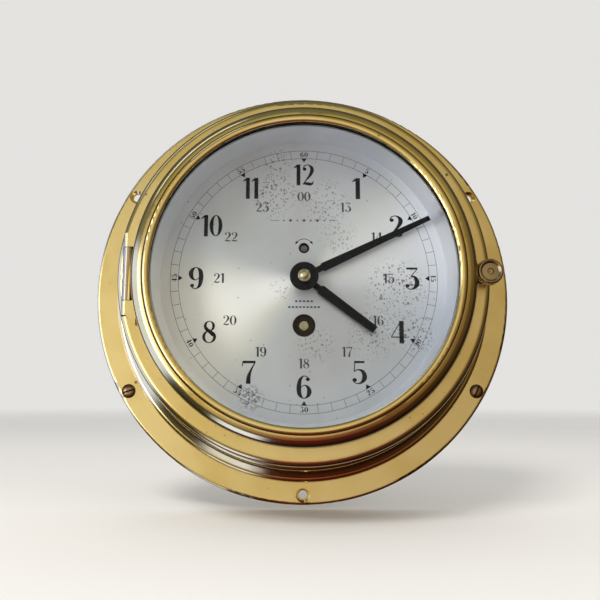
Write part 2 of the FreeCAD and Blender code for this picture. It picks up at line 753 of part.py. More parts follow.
def thumb_screw():
    """Turned knob with a knurled rim and dished top on a plain shank."""
    d = dims
    shaft = new_body("ThumbShaft")
    clasp_top = d.clasp_low + d.clasp_thickness
    dish = d.thumb_knob_top - d.thumb_dish_depth
    revolve(shaft, [
        (0, d.thumb_shank_low), (d.thumb_shank_radius - 0.4, d.thumb_shank_low),
        (d.thumb_shank_radius, d.thumb_shank_low + 0.4), (d.thumb_shank_radius, clasp_top + 0.05),
        (d.thumb_neck_radius, clasp_top + 0.05), (d.thumb_neck_radius, d.thumb_knob_low),
        (d.thumb_knob_radius - 0.9, d.thumb_knob_low),
        (d.thumb_knob_radius - 0.3, d.thumb_knob_low + 0.6),
        (d.thumb_knob_radius - 0.3, d.thumb_knob_top - 0.7),
        (d.thumb_knob_radius - 1.0, d.thumb_knob_top, 0.75),
        (d.thumb_dish_radius, d.thumb_knob_top - 0.1),
        (d.thumb_dish_radius - 0.8, dish), (d.thumb_dimple_radius + 0.3, dish + 0.1),
        (d.thumb_dimple_radius, dish - 0.4), (0, dish - 0.5)])
    count = int(d.knurl_count.number)
    crest = float(d.thumb_knob_radius)
    root = crest - float(d.knurl_depth)
    points = []
    for tooth in range(count):
        for part, radius in ((0.0, crest), (0.5, root)):
            angle = 2.0 * math.pi * (tooth + part) / count
            points.append(Vector(radius * math.cos(angle), radius * math.sin(angle), 0))
    rim_height = float(d.thumb_knob_top - d.thumb_knob_low) - 1.6
    knurl = prism([Part.makePolygon(points + [points[0]]), circle_wire(crest - 0.6)], rim_height,
                  float(d.thumb_knob_low) + 0.7)
    rim = shape_feature("ThumbKnurl", knurl)
    place = stand(d.clasp_reach, d.clasp_rise)
    keep(fuse("ThumbScrew", [shaft, rim]), "thumb_screw", place)
    clip = disc("ThumbClip", d.clip_radius, d.clip_low, d.clip_thickness,
                [(0, 0, d.thumb_shank_radius + 0.03)])
    keep(clip, "thumb_screw_clip", place)


# ---------------------------------------------------------------- dial and hands

def dial_parts():
    d = dims
    top = d.dial_back + d.dial_thickness
    screw_holes = [polar(d.dial_screw_circle, a) for a in QUARTER_ANGLES]
    surround = new_body("DialSurround")
    revolve(surround, [(d.dial_opening_radius, top), (d.dial_radius, top),
                       (d.dial_radius, d.ledge_height), (d.surround_wall_radius, d.ledge_height),
                       (d.surround_wall_radius, d.surround_height),
                       (d.surround_top_radius, d.surround_height)])
    pocket(surround, d.ledge_height, d.ledge_height - top,
           circles=[(x, y, d.dial_screw_radius + 0.05) for x, y in screw_holes])
    keep(surround, "dial_surround")
    holes = [(0, 0, d.dial_centre_hole), (0, 0 - d.winding_drop, d.winding_hole_radius),
             (0, d.regulator_rise, d.regulator_hole_radius)]
    holes += [(x, y, d.dial_screw_radius + 0.05) for x, y in screw_holes]
    keep(disc("Dial", d.dial_radius, d.dial_back, d.dial_thickness, holes), "dial")
    screws = []
    for x, y in screw_holes:
        screw = spindle("DialScrew", [d.dial_back - d.dial_screw_head_height,
                                      (d.dial_screw_head, d.dial_back),
                                      (d.dial_screw_radius - 0.03,
                                       d.dial_back + d.dial_screw_length)])
        screw.Placement = Placement(Vector(float(x), float(y), 0), Rotation())
        screws.append(screw)
    keep(group("DialScrews", screws), "dial_screws")
    feet, nuts = [], []
    plate_top = d.front_plate_back + d.plate_thickness
    for angle in FOOT_ANGLES:
        x, y = polar(d.foot_circle, angle)
        foot = spindle("DialFoot", [d.front_plate_back - d.nut_height - 0.6,
                                    (d.foot_stud, plate_top), (d.foot_radius, d.dial_back)])
        foot.Placement = Placement(Vector(float(x), float(y), 0), Rotation())
        feet.append(foot)
        nut = new_body("DialFootNut")
        hexagon = [polar(d.nut_radius, 60.0 * side) for side in range(6)]
        pad(nut, d.front_plate_back - d.nut_height, d.nut_height, outline=hexagon,
            circles=[(0, 0, d.foot_stud)])
        nut.Placement = Placement(Vector(float(x), float(y), 0), Rotation())
        nuts.append(nut)
    keep(group("DialFeet", feet), "dial_feet")
    keep(group("DialFootNuts", nuts), "dial_foot_nuts")


def hand(name, reach, width, tip_width, height, boss_radius, bore, angle):
    """A baton hand: round boss, narrow neck, then a tapering bar with a square end."""
    d = dims
    body = new_body(name)
    pad(body, height, d.hand_thickness, circles=[(0, 0, boss_radius), (0, 0, bore)])
    neck = d.hand_neck_width / 2
    half, tip = width / 2, tip_width / 2
    start = boss_radius - 0.8
    step = d.hand_shoulder
    pad(body, height, d.hand_thickness,
        outline=[(neck, start), (neck, step), (half, step + 0.6), (tip, reach),
                 (0 - tip, reach), (0 - half, step + 0.6), (0 - neck, step), (0 - neck, start)])
    return keep(body, name, stand(turn=-float(angle)))


def hands():
    d = dims
    hand("minute_hand", d.minute_hand_reach, d.minute_hand_width, d.minute_hand_tip,
         d.minute_hand_height, d.minute_boss_radius, cannon_radius(), d.minute_hand_angle)
    hand("hour_hand", d.hour_hand_reach, d.hour_hand_width, d.hour_hand_tip,
         d.hour_hand_height, d.hour_boss_radius, hour_pipe_radius(), d.hour_hand_angle)
    low = d.minute_hand_height + d.hand_thickness
    nut = new_body("HandNut")
    high = low + d.hand_nut_height
    revolve(nut, [(d.arbor_pivot_radius, low), (d.hand_nut_radius, low),
                  (d.hand_nut_radius, high - 1.6),
                  (0.6, high, 2.9), (0, high), (0, high - 0.8),
                  (d.arbor_pivot_radius, high - 0.8)])
    keep(nut, "hand_nut")


def cannon_radius():
    return dims.arbor_pivot_radius + 0.75


def hour_pipe_radius():
    return cannon_radius() + 1.0


# ---------------------------------------------------------------- movement frame

def centre_distance(module, wheel, pinion):
    return module * (WHEEL_TEETH[wheel] + PINION_TEETH[pinion]) / 2


def intersection(first, first_reach, second, second_reach):
    """The point at given distances from two others, on the 3 o'clock side."""
    gap = (second - first).Length
    along = (first_reach ** 2 - second_reach ** 2 + gap ** 2) / (2 * gap)
    across = math.sqrt(first_reach ** 2 - along ** 2)
    way = (second - first).normalize()
    sideways = Vector(way.y, -way.x, 0)
    return first + way * along + sideways * across


def train_places():
    """Arbor positions in the clock frame, worked out from the modules and tooth counts."""
    d = dims
    centre = Vector(0, 0, 0)
    barrel = Vector(0, -float(d.winding_drop), 0)
    great = float(centre_distance(d.barrel_module, "great", "intermediate"))
    upper = float(centre_distance(d.intermediate_module, "intermediate", "centre"))
    places = {"centre": centre, "barrel": barrel,
              "intermediate": intersection(barrel, great, centre, upper)}
    steps = (("third", "centre", d.centre_module, "centre", "third", d.third_direction),
             ("fourth", "third", d.third_module, "third", "fourth", d.fourth_direction),
             ("escape", "fourth", d.fourth_module, "fourth", "escape", d.escape_direction))
    for name, source, module, wheel, pinion, direction in steps:
        reach = float(centre_distance(module, wheel, pinion))
        x, y = polar(reach, direction)
        places[name] = places[source] + Vector(x, y, 0)
    places["balance"] = Vector(0, float(d.balance_rise), 0)
    lever_reach = float(d.escape_radius) / math.cos(math.radians(float(d.pallet_span)))
    way = (places["balance"] - places["escape"]).normalize()
    places["lever"] = places["escape"] + way * lever_reach
    places["minute"] = Vector(float(motion_distance()), 0, 0)
    places["regulator"] = Vector(0, float(d.regulator_rise), 0)
    return places


def motion_distance():
    return centre_distance(dims.motion_module, "minute", "cannon")


def direction(start, end):
    return math.degrees(math.atan2(end.y - start.y, end.x - start.x))


def at(name, turn=0.0, z=0.0):
    place = PLACES[name]
    return stand(place.x, place.y, z, turn)


def train_pivot_holes(names, radius):
    return [(PLACES[name].x, PLACES[name].y, radius) for name in names]


def movement_frame():
    d = dims
    clearance = d.running_clearance
    pivot = d.pivot_radius + clearance
    pillars = [polar(d.pillar_circle, a) for a in QUARTER_ANGLES]
    feet = [polar(d.foot_circle, a) for a in FOOT_ANGLES]
    screw_holes = [(x, y, d.pillar_screw_radius + 0.05) for x, y in pillars]
    train = ["intermediate", "third", "fourth"]
    front_holes = [(0, 0, d.arbor_pivot_radius + clearance),
                   (0, 0 - d.winding_drop, d.winding_arbor_radius + clearance),
                   (0, d.regulator_rise, d.regulator_arbor_radius + clearance),
                   (click_pivot()[0], click_pivot()[1], d.click_screw_radius)]
    front_holes += [(x, y, d.foot_stud_hole) for x, y in feet] + screw_holes
    front_holes += train_pivot_holes(train + ["escape"], pivot)
    front_holes += train_pivot_holes(["minute"], d.pivot_radius + 0.3)
    front = disc("FrontPlate", d.plate_radius, d.front_plate_back, d.plate_thickness, front_holes)
    keep(front, "front_plate")
    back_holes = [(0, 0, pivot), (0, 0 - d.winding_drop, d.arbor_pivot_radius + clearance),
                  (0, d.regulator_rise, d.regulator_arbor_radius + clearance),
                  (0, d.balance_rise, BALANCE_PIVOT + clearance)]
    back_holes += screw_holes + train_pivot_holes(train, pivot)
    back_holes += train_pivot_holes(["escape"], d.pivot_radius + 0.6)
    back_holes += train_pivot_holes(["lever"], LEVER_PIVOT + clearance)
    back_holes += [(x, y, 0.25) for x, y in banking_places()]
    back_holes += [(x, y, d.cock_screw_radius + 0.02)
                   for x, y in (ESCAPE_FOOT, (0, d.balance_rise + d.cock_foot))]
    back = disc("BackPlate", d.plate_radius, d.back_plate_back, d.plate_thickness, back_holes)
    keep(back, "back_plate")
    low = d.back_plate_back + d.plate_thickness
    pillar_solids, screws = [], []
    for x, y in pillars:
        pillar = new_body("Pillar")
        revolve(pillar, [(0, low + 6), (d.pillar_screw_radius, low + 6),
                         (d.pillar_screw_radius, low), (d.pillar_radius, low),
                         (d.pillar_radius, low + 2), (d.pillar_radius - 0.7, low + 3.2),
                         (d.pillar_radius - 0.7, d.front_plate_back - 3.2),
                         (d.pillar_radius, d.front_plate_back - 2),
                         (d.pillar_radius, d.front_plate_back),
                         (d.pillar_screw_radius, d.front_plate_back),
                         (d.pillar_screw_radius, d.front_plate_back - 6),
                         (0, d.front_plate_back - 6)])
        pillar.Placement = Placement(Vector(float(x), float(y), 0), Rotation())
        pillar_solids.append(pillar)
        plate_top = d.front_plate_back + d.plate_thickness
        front_screw = spindle("PillarScrewFront",
                              [d.front_plate_back - d.pillar_screw_length,
                               (d.pillar_screw_radius - 0.02, plate_top),
                               (d.pillar_screw_head, plate_top + 1.4)])
        back_screw = spindle("PillarScrewBack",
                             [d.back_plate_back - 1.4, (d.pillar_screw_head, d.back_plate_back),
                              (d.pillar_screw_radius - 0.02, low + d.pillar_screw_length)])
        for screw in (front_screw, back_screw):
            screw.Placement = Placement(Vector(float(x), float(y), 0), Rotation())
            screws.append(screw)
    keep(group("Pillars", pillar_solids), "pillars")
    keep(group("PillarScrews", screws), "pillar_screws")


# ---------------------------------------------------------------- barrel and winding work

def barrel():
    d = dims
    teeth, mate = WHEEL_TEETH["great"], PINION_TEETH["intermediate"]
    wires = [wheel_wire(teeth, float(d.barrel_module), mate),
             circle_wire(d.winding_arbor_radius + d.running_clearance)]
    great_wheel = shape_feature("GreatWheel", prism(wires, d.great_wheel_thickness))
    drum = new_body("BarrelDrum")
    floor = d.great_wheel_thickness
    pad(drum, floor, d.barrel_height, circles=[(0, 0, d.barrel_radius),
                                               (0, 0, d.barrel_radius - d.barrel_wall)])
    turn = mesh_turn(teeth, direction(PLACES["barrel"], PLACES["intermediate"]))
    keep(fuse("Barrel", [great_wheel, drum]), "barrel", at("barrel", turn, d.barrel_floor_back))
    top = floor + d.barrel_height
    cover = disc("BarrelCover", d.barrel_radius - d.barrel_wall, top - 1.1, 1.1,
                 [(0, 0, d.winding_arbor_radius + d.running_clearance)])
    keep(cover, "barrel_cover", at("barrel", 0, d.barrel_floor_back))
    thickness = float(d.spring_thickness)
    inner = float(d.winding_core_radius) + thickness + 0.1
    outer = float(d.barrel_radius - d.barrel_wall) - thickness
    spring = spiral_strip(inner, outer, d.spring_coils.number, thickness,
                          float(d.barrel_height) - 1.7)
    keep(shape_feature("Mainspring", spring), "mainspring",
         at("barrel", 0, d.barrel_floor_back + floor + 0.2))


def winding_arbor():
    d = dims
    floor = d.barrel_floor_back + d.great_wheel_thickness
    core_top = floor + d.barrel_height - 1.3
    plate_back = d.back_plate_back + d.plate_thickness
    square_low = d.ratchet_back + d.ratchet_thickness + d.ratchet_hub_rise
    body = spindle("WindingArbor",
                   [d.back_plate_back - 0.4, (d.arbor_pivot_radius, plate_back + 0.1),
                    (d.winding_arbor_radius, floor + 0.1), (d.winding_core_radius, core_top),
                    (d.winding_arbor_radius, square_low)])
    half = d.winding_square / 2
    pad(body, square_low, d.winding_arbor_front - square_low,
        outline=box_corners(0 - half, 0 - half, half, half))
    keep(body, "winding_arbor", at("barrel", 12.0))


def ratchet_outline():
    """Saw teeth whose steep faces stop the wheel from running back anticlockwise."""
    d = dims
    teeth = int(d.ratchet_teeth.number)
    tip, root = float(d.ratchet_radius), float(d.ratchet_root)
    pitch = 360.0 / teeth
    points = []
    for tooth in range(teeth):
        steep = math.radians(pitch * tooth)
        foot = math.radians(pitch * (tooth - 1) + 0.6)
        for radius, angle in ((root, foot), (tip, steep)):
            points.append(Vector(radius * math.cos(angle), radius * math.sin(angle), 0))
    return Part.makePolygon(points + [points[0]])


def ratchet_wheel():
    d = dims
    teeth = prism([ratchet_outline(), circle_wire(d.winding_arbor_radius)], d.ratchet_thickness)
    hub = new_body("RatchetHub")
    pad(hub, d.ratchet_thickness, d.ratchet_hub_rise / 2,
        circles=[(0, 0, d.ratchet_hub_radius), (0, 0, d.winding_arbor_radius)])
    pad(hub, d.ratchet_thickness + d.ratchet_hub_rise / 2, d.ratchet_hub_rise / 2,
        circles=[(0, 0, d.ratchet_hub_step), (0, 0, d.winding_arbor_radius)])
    wheel = fuse("RatchetWheel", [shape_feature("RatchetTeeth", teeth), hub])
    keep(wheel, "ratchet_wheel", at("barrel", d.click_direction, d.ratchet_back))


def click_frame():
    """Contact point on the ratchet and unit vectors outwards and back towards the pivot."""
    d = dims
    angle = math.radians(float(d.click_direction))
    outward = Vector(math.cos(angle), math.sin(angle), 0)
    onward = Vector(-math.sin(angle), math.cos(angle), 0)
    contact = Vector(0, -float(d.winding_drop), 0) + outward * float(d.ratchet_root)
    return contact, outward, onward


def click_pivot():
    contact, outward, onward = click_frame()
    pivot = contact + onward * float(dims.click_length) + outward * float(dims.click_lift)
    return pivot.x, pivot.y


def click_parts():
    d = dims
    contact, outward, onward = click_frame()
    pivot = Vector(*click_pivot(), 0)

    def point(along, out):
        spot = contact + onward * along + outward * out
        return float(spot.x - pivot.x), float(spot.y - pivot.y)

    length = float(d.click_length)
    lift = float(d.click_lift)
    body = new_body("Click")
    pad(body, 0, d.ratchet_thickness,
        outline=[point(0.15, 0.15), point(0.15, 1.9), point(length - 1.5, lift + 1.9),
                 point(length + 1.6, lift + 1.6), point(length + 1.6, lift - 1.4),
                 point(length - 1.6, lift - 1.2), point(2.6, 0.95), point(1.2, 0.7)])
    pocket(body, d.ratchet_thickness, d.ratchet_thickness,
           circles=[(0, 0, d.click_screw_radius + d.running_clearance)])
    place = stand(pivot.x, pivot.y, d.ratchet_back)
    keep(body, "click", place)
    top = d.ratchet_thickness + 0.05
    screw = spindle("ClickScrew", [0 - d.plate_thickness - 0.3, (d.click_screw_radius, top),
                                   (d.click_screw_radius + 0.9, top + 0.8)])
    pocket(screw, top + 0.8, 0.4, outline=box_corners(-3, -0.3, 3, 0.3))
    keep(screw, "click_screw", place)
    spring_start = contact + outward * 5.2 + onward * (length + 5.0)
    spring_end = contact + outward * 4.6 + onward * 2.6
    spring = click_spring(spring_start, spring_end, float(d.ratchet_thickness) * 0.6)
    keep(shape_feature("ClickSpring", spring), "click_spring", stand(z=d.ratchet_back))


def click_spring(start, end, height):
    """A bent wire spring on its own screw, standing just clear of the click's back."""
    way = (end - start).normalize()
    side = Vector(-way.y, way.x, 0) * 0.2
    blade = Part.makePolygon([start + side, end + side, end - side, start - side, start + side])
    strip = prism([blade], height, 0.3)
    foot = Part.makeCylinder(1.3, height + 0.6, Vector(start.x, start.y, 0))
    return strip.fuse(foot)


# ---------------------------------------------------------------- going train

def pinion_piece(name, label, teeth, module, mate, leaf_low, leaf_length, steps, turn, where):
    """An arbor with its leaves cut in the same steel; heights are in the clock frame."""
    shaft = spindle(name + "Shaft", steps)
    leaves = prism([pinion_wire(teeth, float(module), mate)], leaf_length)
    toothed = shape_feature(name + "Leaves", leaves)
    toothed.Placement = Placement(Vector(0, 0, leaf_low), Rotation(Vector(0, 0, 1), turn))
    keep(fuse(name, [shaft, toothed]), label, at(where))


def arbor_steps(front, back, radius, pivot):
    """A plain arbor between the plates, with a pivot through each."""
    d = dims
    shoulder = 0.15
    return [back, (pivot, d.back_plate_back + d.plate_thickness + shoulder),
            (radius, d.front_plate_back - shoulder), (pivot, front)]


def train():
    d = dims
    front_face = d.front_plate_back + d.plate_thickness
    back_face = d.back_plate_back
    wheels = (
        # wheel, its module, the pinion it drives, height and bore
        ("intermediate", d.intermediate_module, "centre", 30.2, d.arbor_radius),
        ("centre", d.centre_module, "third", 32.3, d.arbor_pivot_radius),
        ("third", d.third_module, "fourth", 27.0, d.arbor_radius),
        ("fourth", d.fourth_module, "escape", 22.0, d.arbor_radius),
    )
    for name, module, driven, height, bore in wheels:
        teeth, mate = WHEEL_TEETH[name], PINION_TEETH[driven]
        turn = mesh_turn(teeth, direction(PLACES[name], PLACES[driven]))
        wheel = train_wheel(name + "_wheel_teeth", teeth, float(module), mate, float(bore),
                            float(d.wheel_thickness), hub_radius=2.6)
        keep(wheel, name + "_wheel", at(name, turn, height))
    pinions = (
        # arbor, module, the wheel that drives it, that wheel's arbor, leaf height and length
        ("intermediate", d.barrel_module, "great", "barrel", 17.0, 2.8),
        ("third", d.centre_module, "centre", "centre", 31.9, 1.7),
        ("fourth", d.third_module, "third", "third", 26.4, 2.2),
    )
    for name, module, wheel, source, leaf_low, leaf_length in pinions:
        teeth, mate = PINION_TEETH[name], WHEEL_TEETH[wheel]
        turn = gap_turn(teeth, direction(PLACES[name], PLACES[source]))
        steps = arbor_steps(front_face, back_face, d.arbor_radius, d.pivot_radius)
        pinion_piece(name.title(), name + "_arbor", teeth, module, mate, leaf_low, leaf_length,
                     steps, turn, name)
    teeth = PINION_TEETH["centre"]
    turn = gap_turn(teeth, direction(PLACES["centre"], PLACES["intermediate"]))
    shoulder = d.back_plate_back + d.plate_thickness + 0.15
    nut_top = d.minute_hand_height + d.hand_thickness + d.hand_nut_height - 0.8
    steps = [back_face, (d.pivot_radius, shoulder), (d.arbor_pivot_radius, nut_top)]
    pinion_piece("CentreArbor", "centre_arbor", teeth, d.intermediate_module,
                 WHEEL_TEETH["intermediate"], 29.6, 2.2, steps, turn, "centre")
    teeth = PINION_TEETH["escape"]
    turn = gap_turn(teeth, direction(PLACES["escape"], PLACES["fourth"]))
    steps = [d.escape_cock_back, (0.3, d.escape_back - 0.35), (0.5, d.front_plate_back - 0.15),
             (d.pivot_radius - 0.1, front_face)]
    pinion_piece("EscapeArbor", "escape_arbor", teeth, d.fourth_module, WHEEL_TEETH["fourth"],
                 21.5, 2.0, steps, turn, "escape")


def motion_work():
    d = dims
    base = d.front_plate_back + d.plate_thickness + 0.3
    pipe = cannon_radius()
    teeth = PINION_TEETH["cannon"]
    length = d.minute_hand_height + d.hand_thickness - base
    tube = new_body("CannonTube")
    pad(tube, 1.0, length - 1.0, circles=[(0, 0, pipe), (0, 0, d.arbor_pivot_radius)])
    wires = [pinion_wire(teeth, float(d.motion_module), WHEEL_TEETH["minute"]),
             circle_wire(d.arbor_pivot_radius)]
    leaves = shape_feature("CannonLeaves", prism(wires, 1.0))
    leaves.Placement = Placement(Vector(0, 0, 0), Rotation(Vector(0, 0, 1), 180.0 / teeth))
    keep(fuse("CannonPinion", [tube, leaves]), "cannon_pinion", at("centre", 0, base))
    minute_teeth, hour_teeth = WHEEL_TEETH["minute"], WHEEL_TEETH["hour"]
    leaf_teeth = PINION_TEETH["minute"]
    post = 0.8
    bore = post + float(d.running_clearance)
    turn = mesh_turn(minute_teeth, 180.0)
    wheel = prism([wheel_wire(minute_teeth, float(d.motion_module), teeth), circle_wire(bore)], 0.8)
    hour_module = 2 * float(motion_distance()) / (hour_teeth + leaf_teeth)
    leaf_wires = [pinion_wire(leaf_teeth, hour_module, hour_teeth), circle_wire(bore)]
    minute_leaves = prism(leaf_wires, 1.3, 0.8)
    minute_leaves.rotate(Vector(0, 0, 0), Vector(0, 0, 1), gap_turn(leaf_teeth, 180.0) - turn)
    keep(shape_feature("MinuteWheel", wheel.fuse(minute_leaves)), "minute_wheel",
         at("minute", turn, base))
    stud = spindle("MinuteWheelStud", [d.front_plate_back, (post, base + 2.2)])
    pad(stud, d.front_plate_back + d.plate_thickness, 0.25, circles=[(0, 0, 1.5)])
    keep(stud, "minute_wheel_stud", at("minute"))
    hour_low = base + 1.2
    hour_pipe = new_body("HourPipe")
    hour_top = d.hour_hand_height + d.hand_thickness - hour_low
    inner = pipe + d.running_clearance
    pad(hour_pipe, 0, hour_top, circles=[(0, 0, hour_pipe_radius()), (0, 0, inner)])
    hour_wires = [wheel_wire(hour_teeth, hour_module, leaf_teeth), circle_wire(inner)]
    hour_wheel = shape_feature("HourTeeth", prism(hour_wires, 0.8))
    keep(fuse("HourWheel", [hour_wheel, hour_pipe]), "hour_wheel", at("centre", 0, hour_low))


# ---------------------------------------------------------------- escapement

LEVER_PIVOT = 0.3
BALANCE_PIVOT = 0.25
ESCAPE_FOOT = (-18.2, 21.6)
HAIRSPRING_START = 1.5


def escape_wheel():
    """Fifteen slender pointed teeth that lean into the wheel's anticlockwise turning."""
    d = dims
    teeth = int(d.escape_teeth.number)
    tip, root = float(d.escape_radius), float(d.escape_root)
    neck = tip - 0.4
    pitch = 360.0 / teeth
    points = []
    outline = ((root, -13.0), (neck, -2.4), (tip, -0.5), (tip, 0.0), (neck, -0.9), (root, -6.0))
    for tooth in range(teeth):
        for radius, lean in outline:
            angle = math.radians(pitch * tooth + lean)
            points.append(Vector(radius * math.cos(angle), radius * math.sin(angle), 0))
    wires = [Part.makePolygon(points + [points[0]]), circle_wire(0.5)]
    wires += crossing_wires(root - 0.8, 1.3, arms=4, arm_width=0.6)
    line = direction(PLACES["escape"], PLACES["lever"])
    keep(shape_feature("EscapeWheel", prism(wires, d.escape_thickness)), "escape_wheel",
         at("escape", line + float(d.escape_phase), d.escape_back))


def pallet_wire(side, grow=0.0):
    """A pallet stone seen from the front, in the lever's frame with +X to the balance."""
    d = dims
    radius = float(d.escape_radius)
    reach = radius / math.cos(math.radians(float(d.pallet_span)))
    middle = math.radians(side * float(d.pallet_span))
    half = math.radians(float(d.pallet_width) / 2.0)
    centre = Vector(-reach, 0, 0)
    outward = Vector(math.cos(middle), math.sin(middle), 0)
    across = Vector(-math.sin(middle), math.cos(middle), 0)
    width = radius * math.sin(half) + grow
    lift = float(d.pallet_lift)
    length = float(d.pallet_length) + grow
    inner_lock = centre + outward * (radius * math.cos(half) + lift) - across * width
    inner_drop = centre + outward * (radius * math.cos(half) - lift) + across * width
    outer = centre + outward * (radius + length)
    return Part.makePolygon([inner_lock, inner_drop, outer + across * width,
                             outer - across * width, inner_lock])


def lever_parts():
    d = dims
    turn = direction(PLACES["lever"], PLACES["balance"])
    thickness = float(d.lever_thickness)
    fork = float(d.lever_fork_reach)
    notch = float(d.impulse_pin_radius) + 0.05
    points = [(-0.9, -0.55), (-0.3, -3.75), (0.95, -3.75), (0.75, -0.5), (fork - 0.9, -0.35),
              (fork - 0.5, -0.75), (fork, -0.75), (fork, -notch), (fork - 0.7, -notch)]
    mirrored = [(x, -y) for x, y in reversed(points)]
    loop = [Vector(x, y, 0) for x, y in points + mirrored]
    lever = prism([Part.makePolygon(loop + [loop[0]]), circle_wire(0.5)], thickness)
    stones = []
    for side in (-1, 1):
        seat = prism([pallet_wire(side, grow=0.01)], thickness + 1.0, -0.5)
        lever = lever.cut(seat)
        stones.append(shape_feature("PalletStone", prism([pallet_wire(side)], thickness)))
    place = at("lever", turn, d.lever_back)
    keep(shape_feature("Lever", lever), "lever", place)
    keep(group("PalletStones", stones), "pallet_stones", place)
    staff = spindle("LeverStaff", [d.escape_cock_back, (LEVER_PIVOT, d.lever_back - 0.2),
                                   (0.5, d.back_plate_back - 0.1),
                                   (LEVER_PIVOT, d.back_plate_back + 1.2)])
    keep(staff, "lever_staff", at("lever"))
    pins = [cylinder("BankingPin", 0.25, d.back_plate_back - d.lever_back + 0.6,
                     d.lever_back - 0.2, x, y) for x, y in banking_places()]
    keep(group("BankingPins", pins), "banking_pins")


def banking_places():
    """The two pins between which the lever swings four degrees each way."""
    swing = math.radians(4.0)
    along, half_width = 1.9, 0.42
    across = half_width + along * math.sin(swing) + 0.32
    lever = PLACES["lever"]
    way = (PLACES["balance"] - lever).normalize()
    side = Vector(-way.y, way.x, 0)
    spots = [lever + way * along + side * (across * sign) for sign in (-1, 1)]
    return [(spot.x, spot.y) for spot in spots]


def escape_cock():
    """A bar behind the escape wheel and lever, standing on one foot on the back plate."""
    d = dims
    foot = Vector(*ESCAPE_FOOT, 0)
    lever = PLACES["lever"]
    way = (lever - foot).normalize()
    side = Vector(-way.y, way.x, 0)
    start, end = foot - way * 1.6, lever + way * 1.3
    corners = [start - side * 1.8, end - side * 1.2, end + side * 1.2, start + side * 1.8]
    bar = prism([Part.makePolygon(corners + [corners[0]]),
                 circle_wire(0.33, PLACES["escape"].x, PLACES["escape"].y),
                 circle_wire(LEVER_PIVOT + 0.03, lever.x, lever.y),
                 circle_wire(0.75, foot.x, foot.y)], d.cock_thickness, d.escape_cock_back)
    post_low = float(d.escape_cock_back + d.cock_thickness)
    post = prism([circle_wire(1.7, foot.x, foot.y), circle_wire(0.75, foot.x, foot.y)],
                 float(d.back_plate_back) - post_low, post_low)
    keep(shape_feature("EscapeCock", bar.fuse(post)), "escape_cock")


def balance_parts():
    d = dims
    turn = direction(PLACES["balance"], PLACES["lever"])
    cock_top = d.balance_cock_back + d.balance_cock_thickness
    staff = spindle("BalanceStaff", [d.balance_cock_back + 0.3, (BALANCE_PIVOT, cock_top + 0.15),
                                     (d.staff_radius, d.back_plate_back - 0.15),
                                     (BALANCE_PIVOT, d.back_plate_back + 1.4)])
    keep(staff, "balance_staff", at("balance"))
    rim = float(d.balance_radius)
    wires = [circle_wire(rim), circle_wire(d.staff_radius)]
    wires += crossing_wires(rim - float(d.balance_rim), 1.6, arms=3, arm_width=1.1)
    keep(shape_feature("BalanceWheel", prism(wires, d.balance_thickness)), "balance_wheel",
         at("balance", 30.0, d.balance_back))
    pin_place = 0 - d.impulse_pin_circle
    roller = disc("Roller", d.roller_radius, 0, 0.6,
                  [(0, 0, d.staff_radius), (pin_place, 0, d.impulse_pin_radius)])
    keep(roller, "roller", at("balance", turn, d.roller_back))
    pin = disc("ImpulsePin", d.impulse_pin_radius, 0, d.lever_thickness + 1.0)
    pin_spot = Placement(Vector(float(pin_place), 0, 0), Rotation())
    keep(pin, "impulse_pin", at("balance", turn, d.roller_back).multiply(pin_spot))
    coil = spiral_strip(HAIRSPRING_START, float(d.hairspring_radius),
                        d.hairspring_coils.number, 0.1, float(d.hairspring_height))
    keep(shape_feature("Hairspring", coil), "hairspring",
         at("balance", d.hairspring_turn, d.hairspring_back))
    collet = disc("HairspringCollet", 1.35, d.hairspring_back - 0.2, 0.9,
                  [(0, 0, d.staff_radius)])
    keep(collet, "hairspring_collet", at("balance"))


def balance_cock():
    """The bar that carries the balance's rear pivot, with a boss for the regulator index."""
    d = dims
    reach = d.cock_foot
    top = d.balance_cock_back + d.balance_cock_thickness
    half, wide, foot = 2.6, 4.2, reach - 2.6
    body = new_body("BalanceCock")
    pad(body, d.balance_cock_back, d.balance_cock_thickness,
        outline=[(wide, foot), (wide, reach + 2.4), (-wide, reach + 2.4), (-wide, foot),
                       (-half, 0.5), (-half, -1.2), (-1.2, -half), (1.2, -half), (half, -1.2),
                       (half, 0.5)])
    pad(body, top, d.back_plate_back - top, outline=box_corners(-wide, foot, wide, reach + 2.4))
    pad(body, d.index_back - 0.1, d.balance_cock_back - d.index_back + 0.1,
        circles=[(0, 0, d.index_boss_radius)])
    stud_x, stud_y = polar(d.hairspring_radius + 0.47, d.hairspring_turn)
    pad(body, top, d.hairspring_back + d.hairspring_height - top, circles=[(stud_x, stud_y, 0.4)])
    pocket(body, top, d.balance_cock_thickness + 2,
           circles=[(0, 0, BALANCE_PIVOT + d.running_clearance)])
    pocket(body, d.back_plate_back, 14.0, circles=[(0, reach, d.cock_screw_radius + 0.05)])
    pocket(body, d.escape_cock_back, d.escape_cock_back - d.balance_cock_back + 1,
           circles=[(0, reach, d.cock_screw_head + 0.15)])
    keep(body, "balance_cock", at("balance"))


def cock_screws():
    """Two alike: one under the escape cock, one sunk in the foot of the balance cock."""
    d = dims
    seat = d.escape_cock_back
    screws = []
    for x, y in (ESCAPE_FOOT, (0, d.balance_rise + d.cock_foot)):
        screw = spindle("CockScrew", [seat - 0.9, (d.cock_screw_head, seat),
                                      (d.cock_screw_radius, d.back_plate_back + d.plate_thickness)])
        screw.Placement = Placement(Vector(float(x), float(y), 0), Rotation())
        screws.append(screw)
    keep(group("CockScrews", screws), "cock_screws")


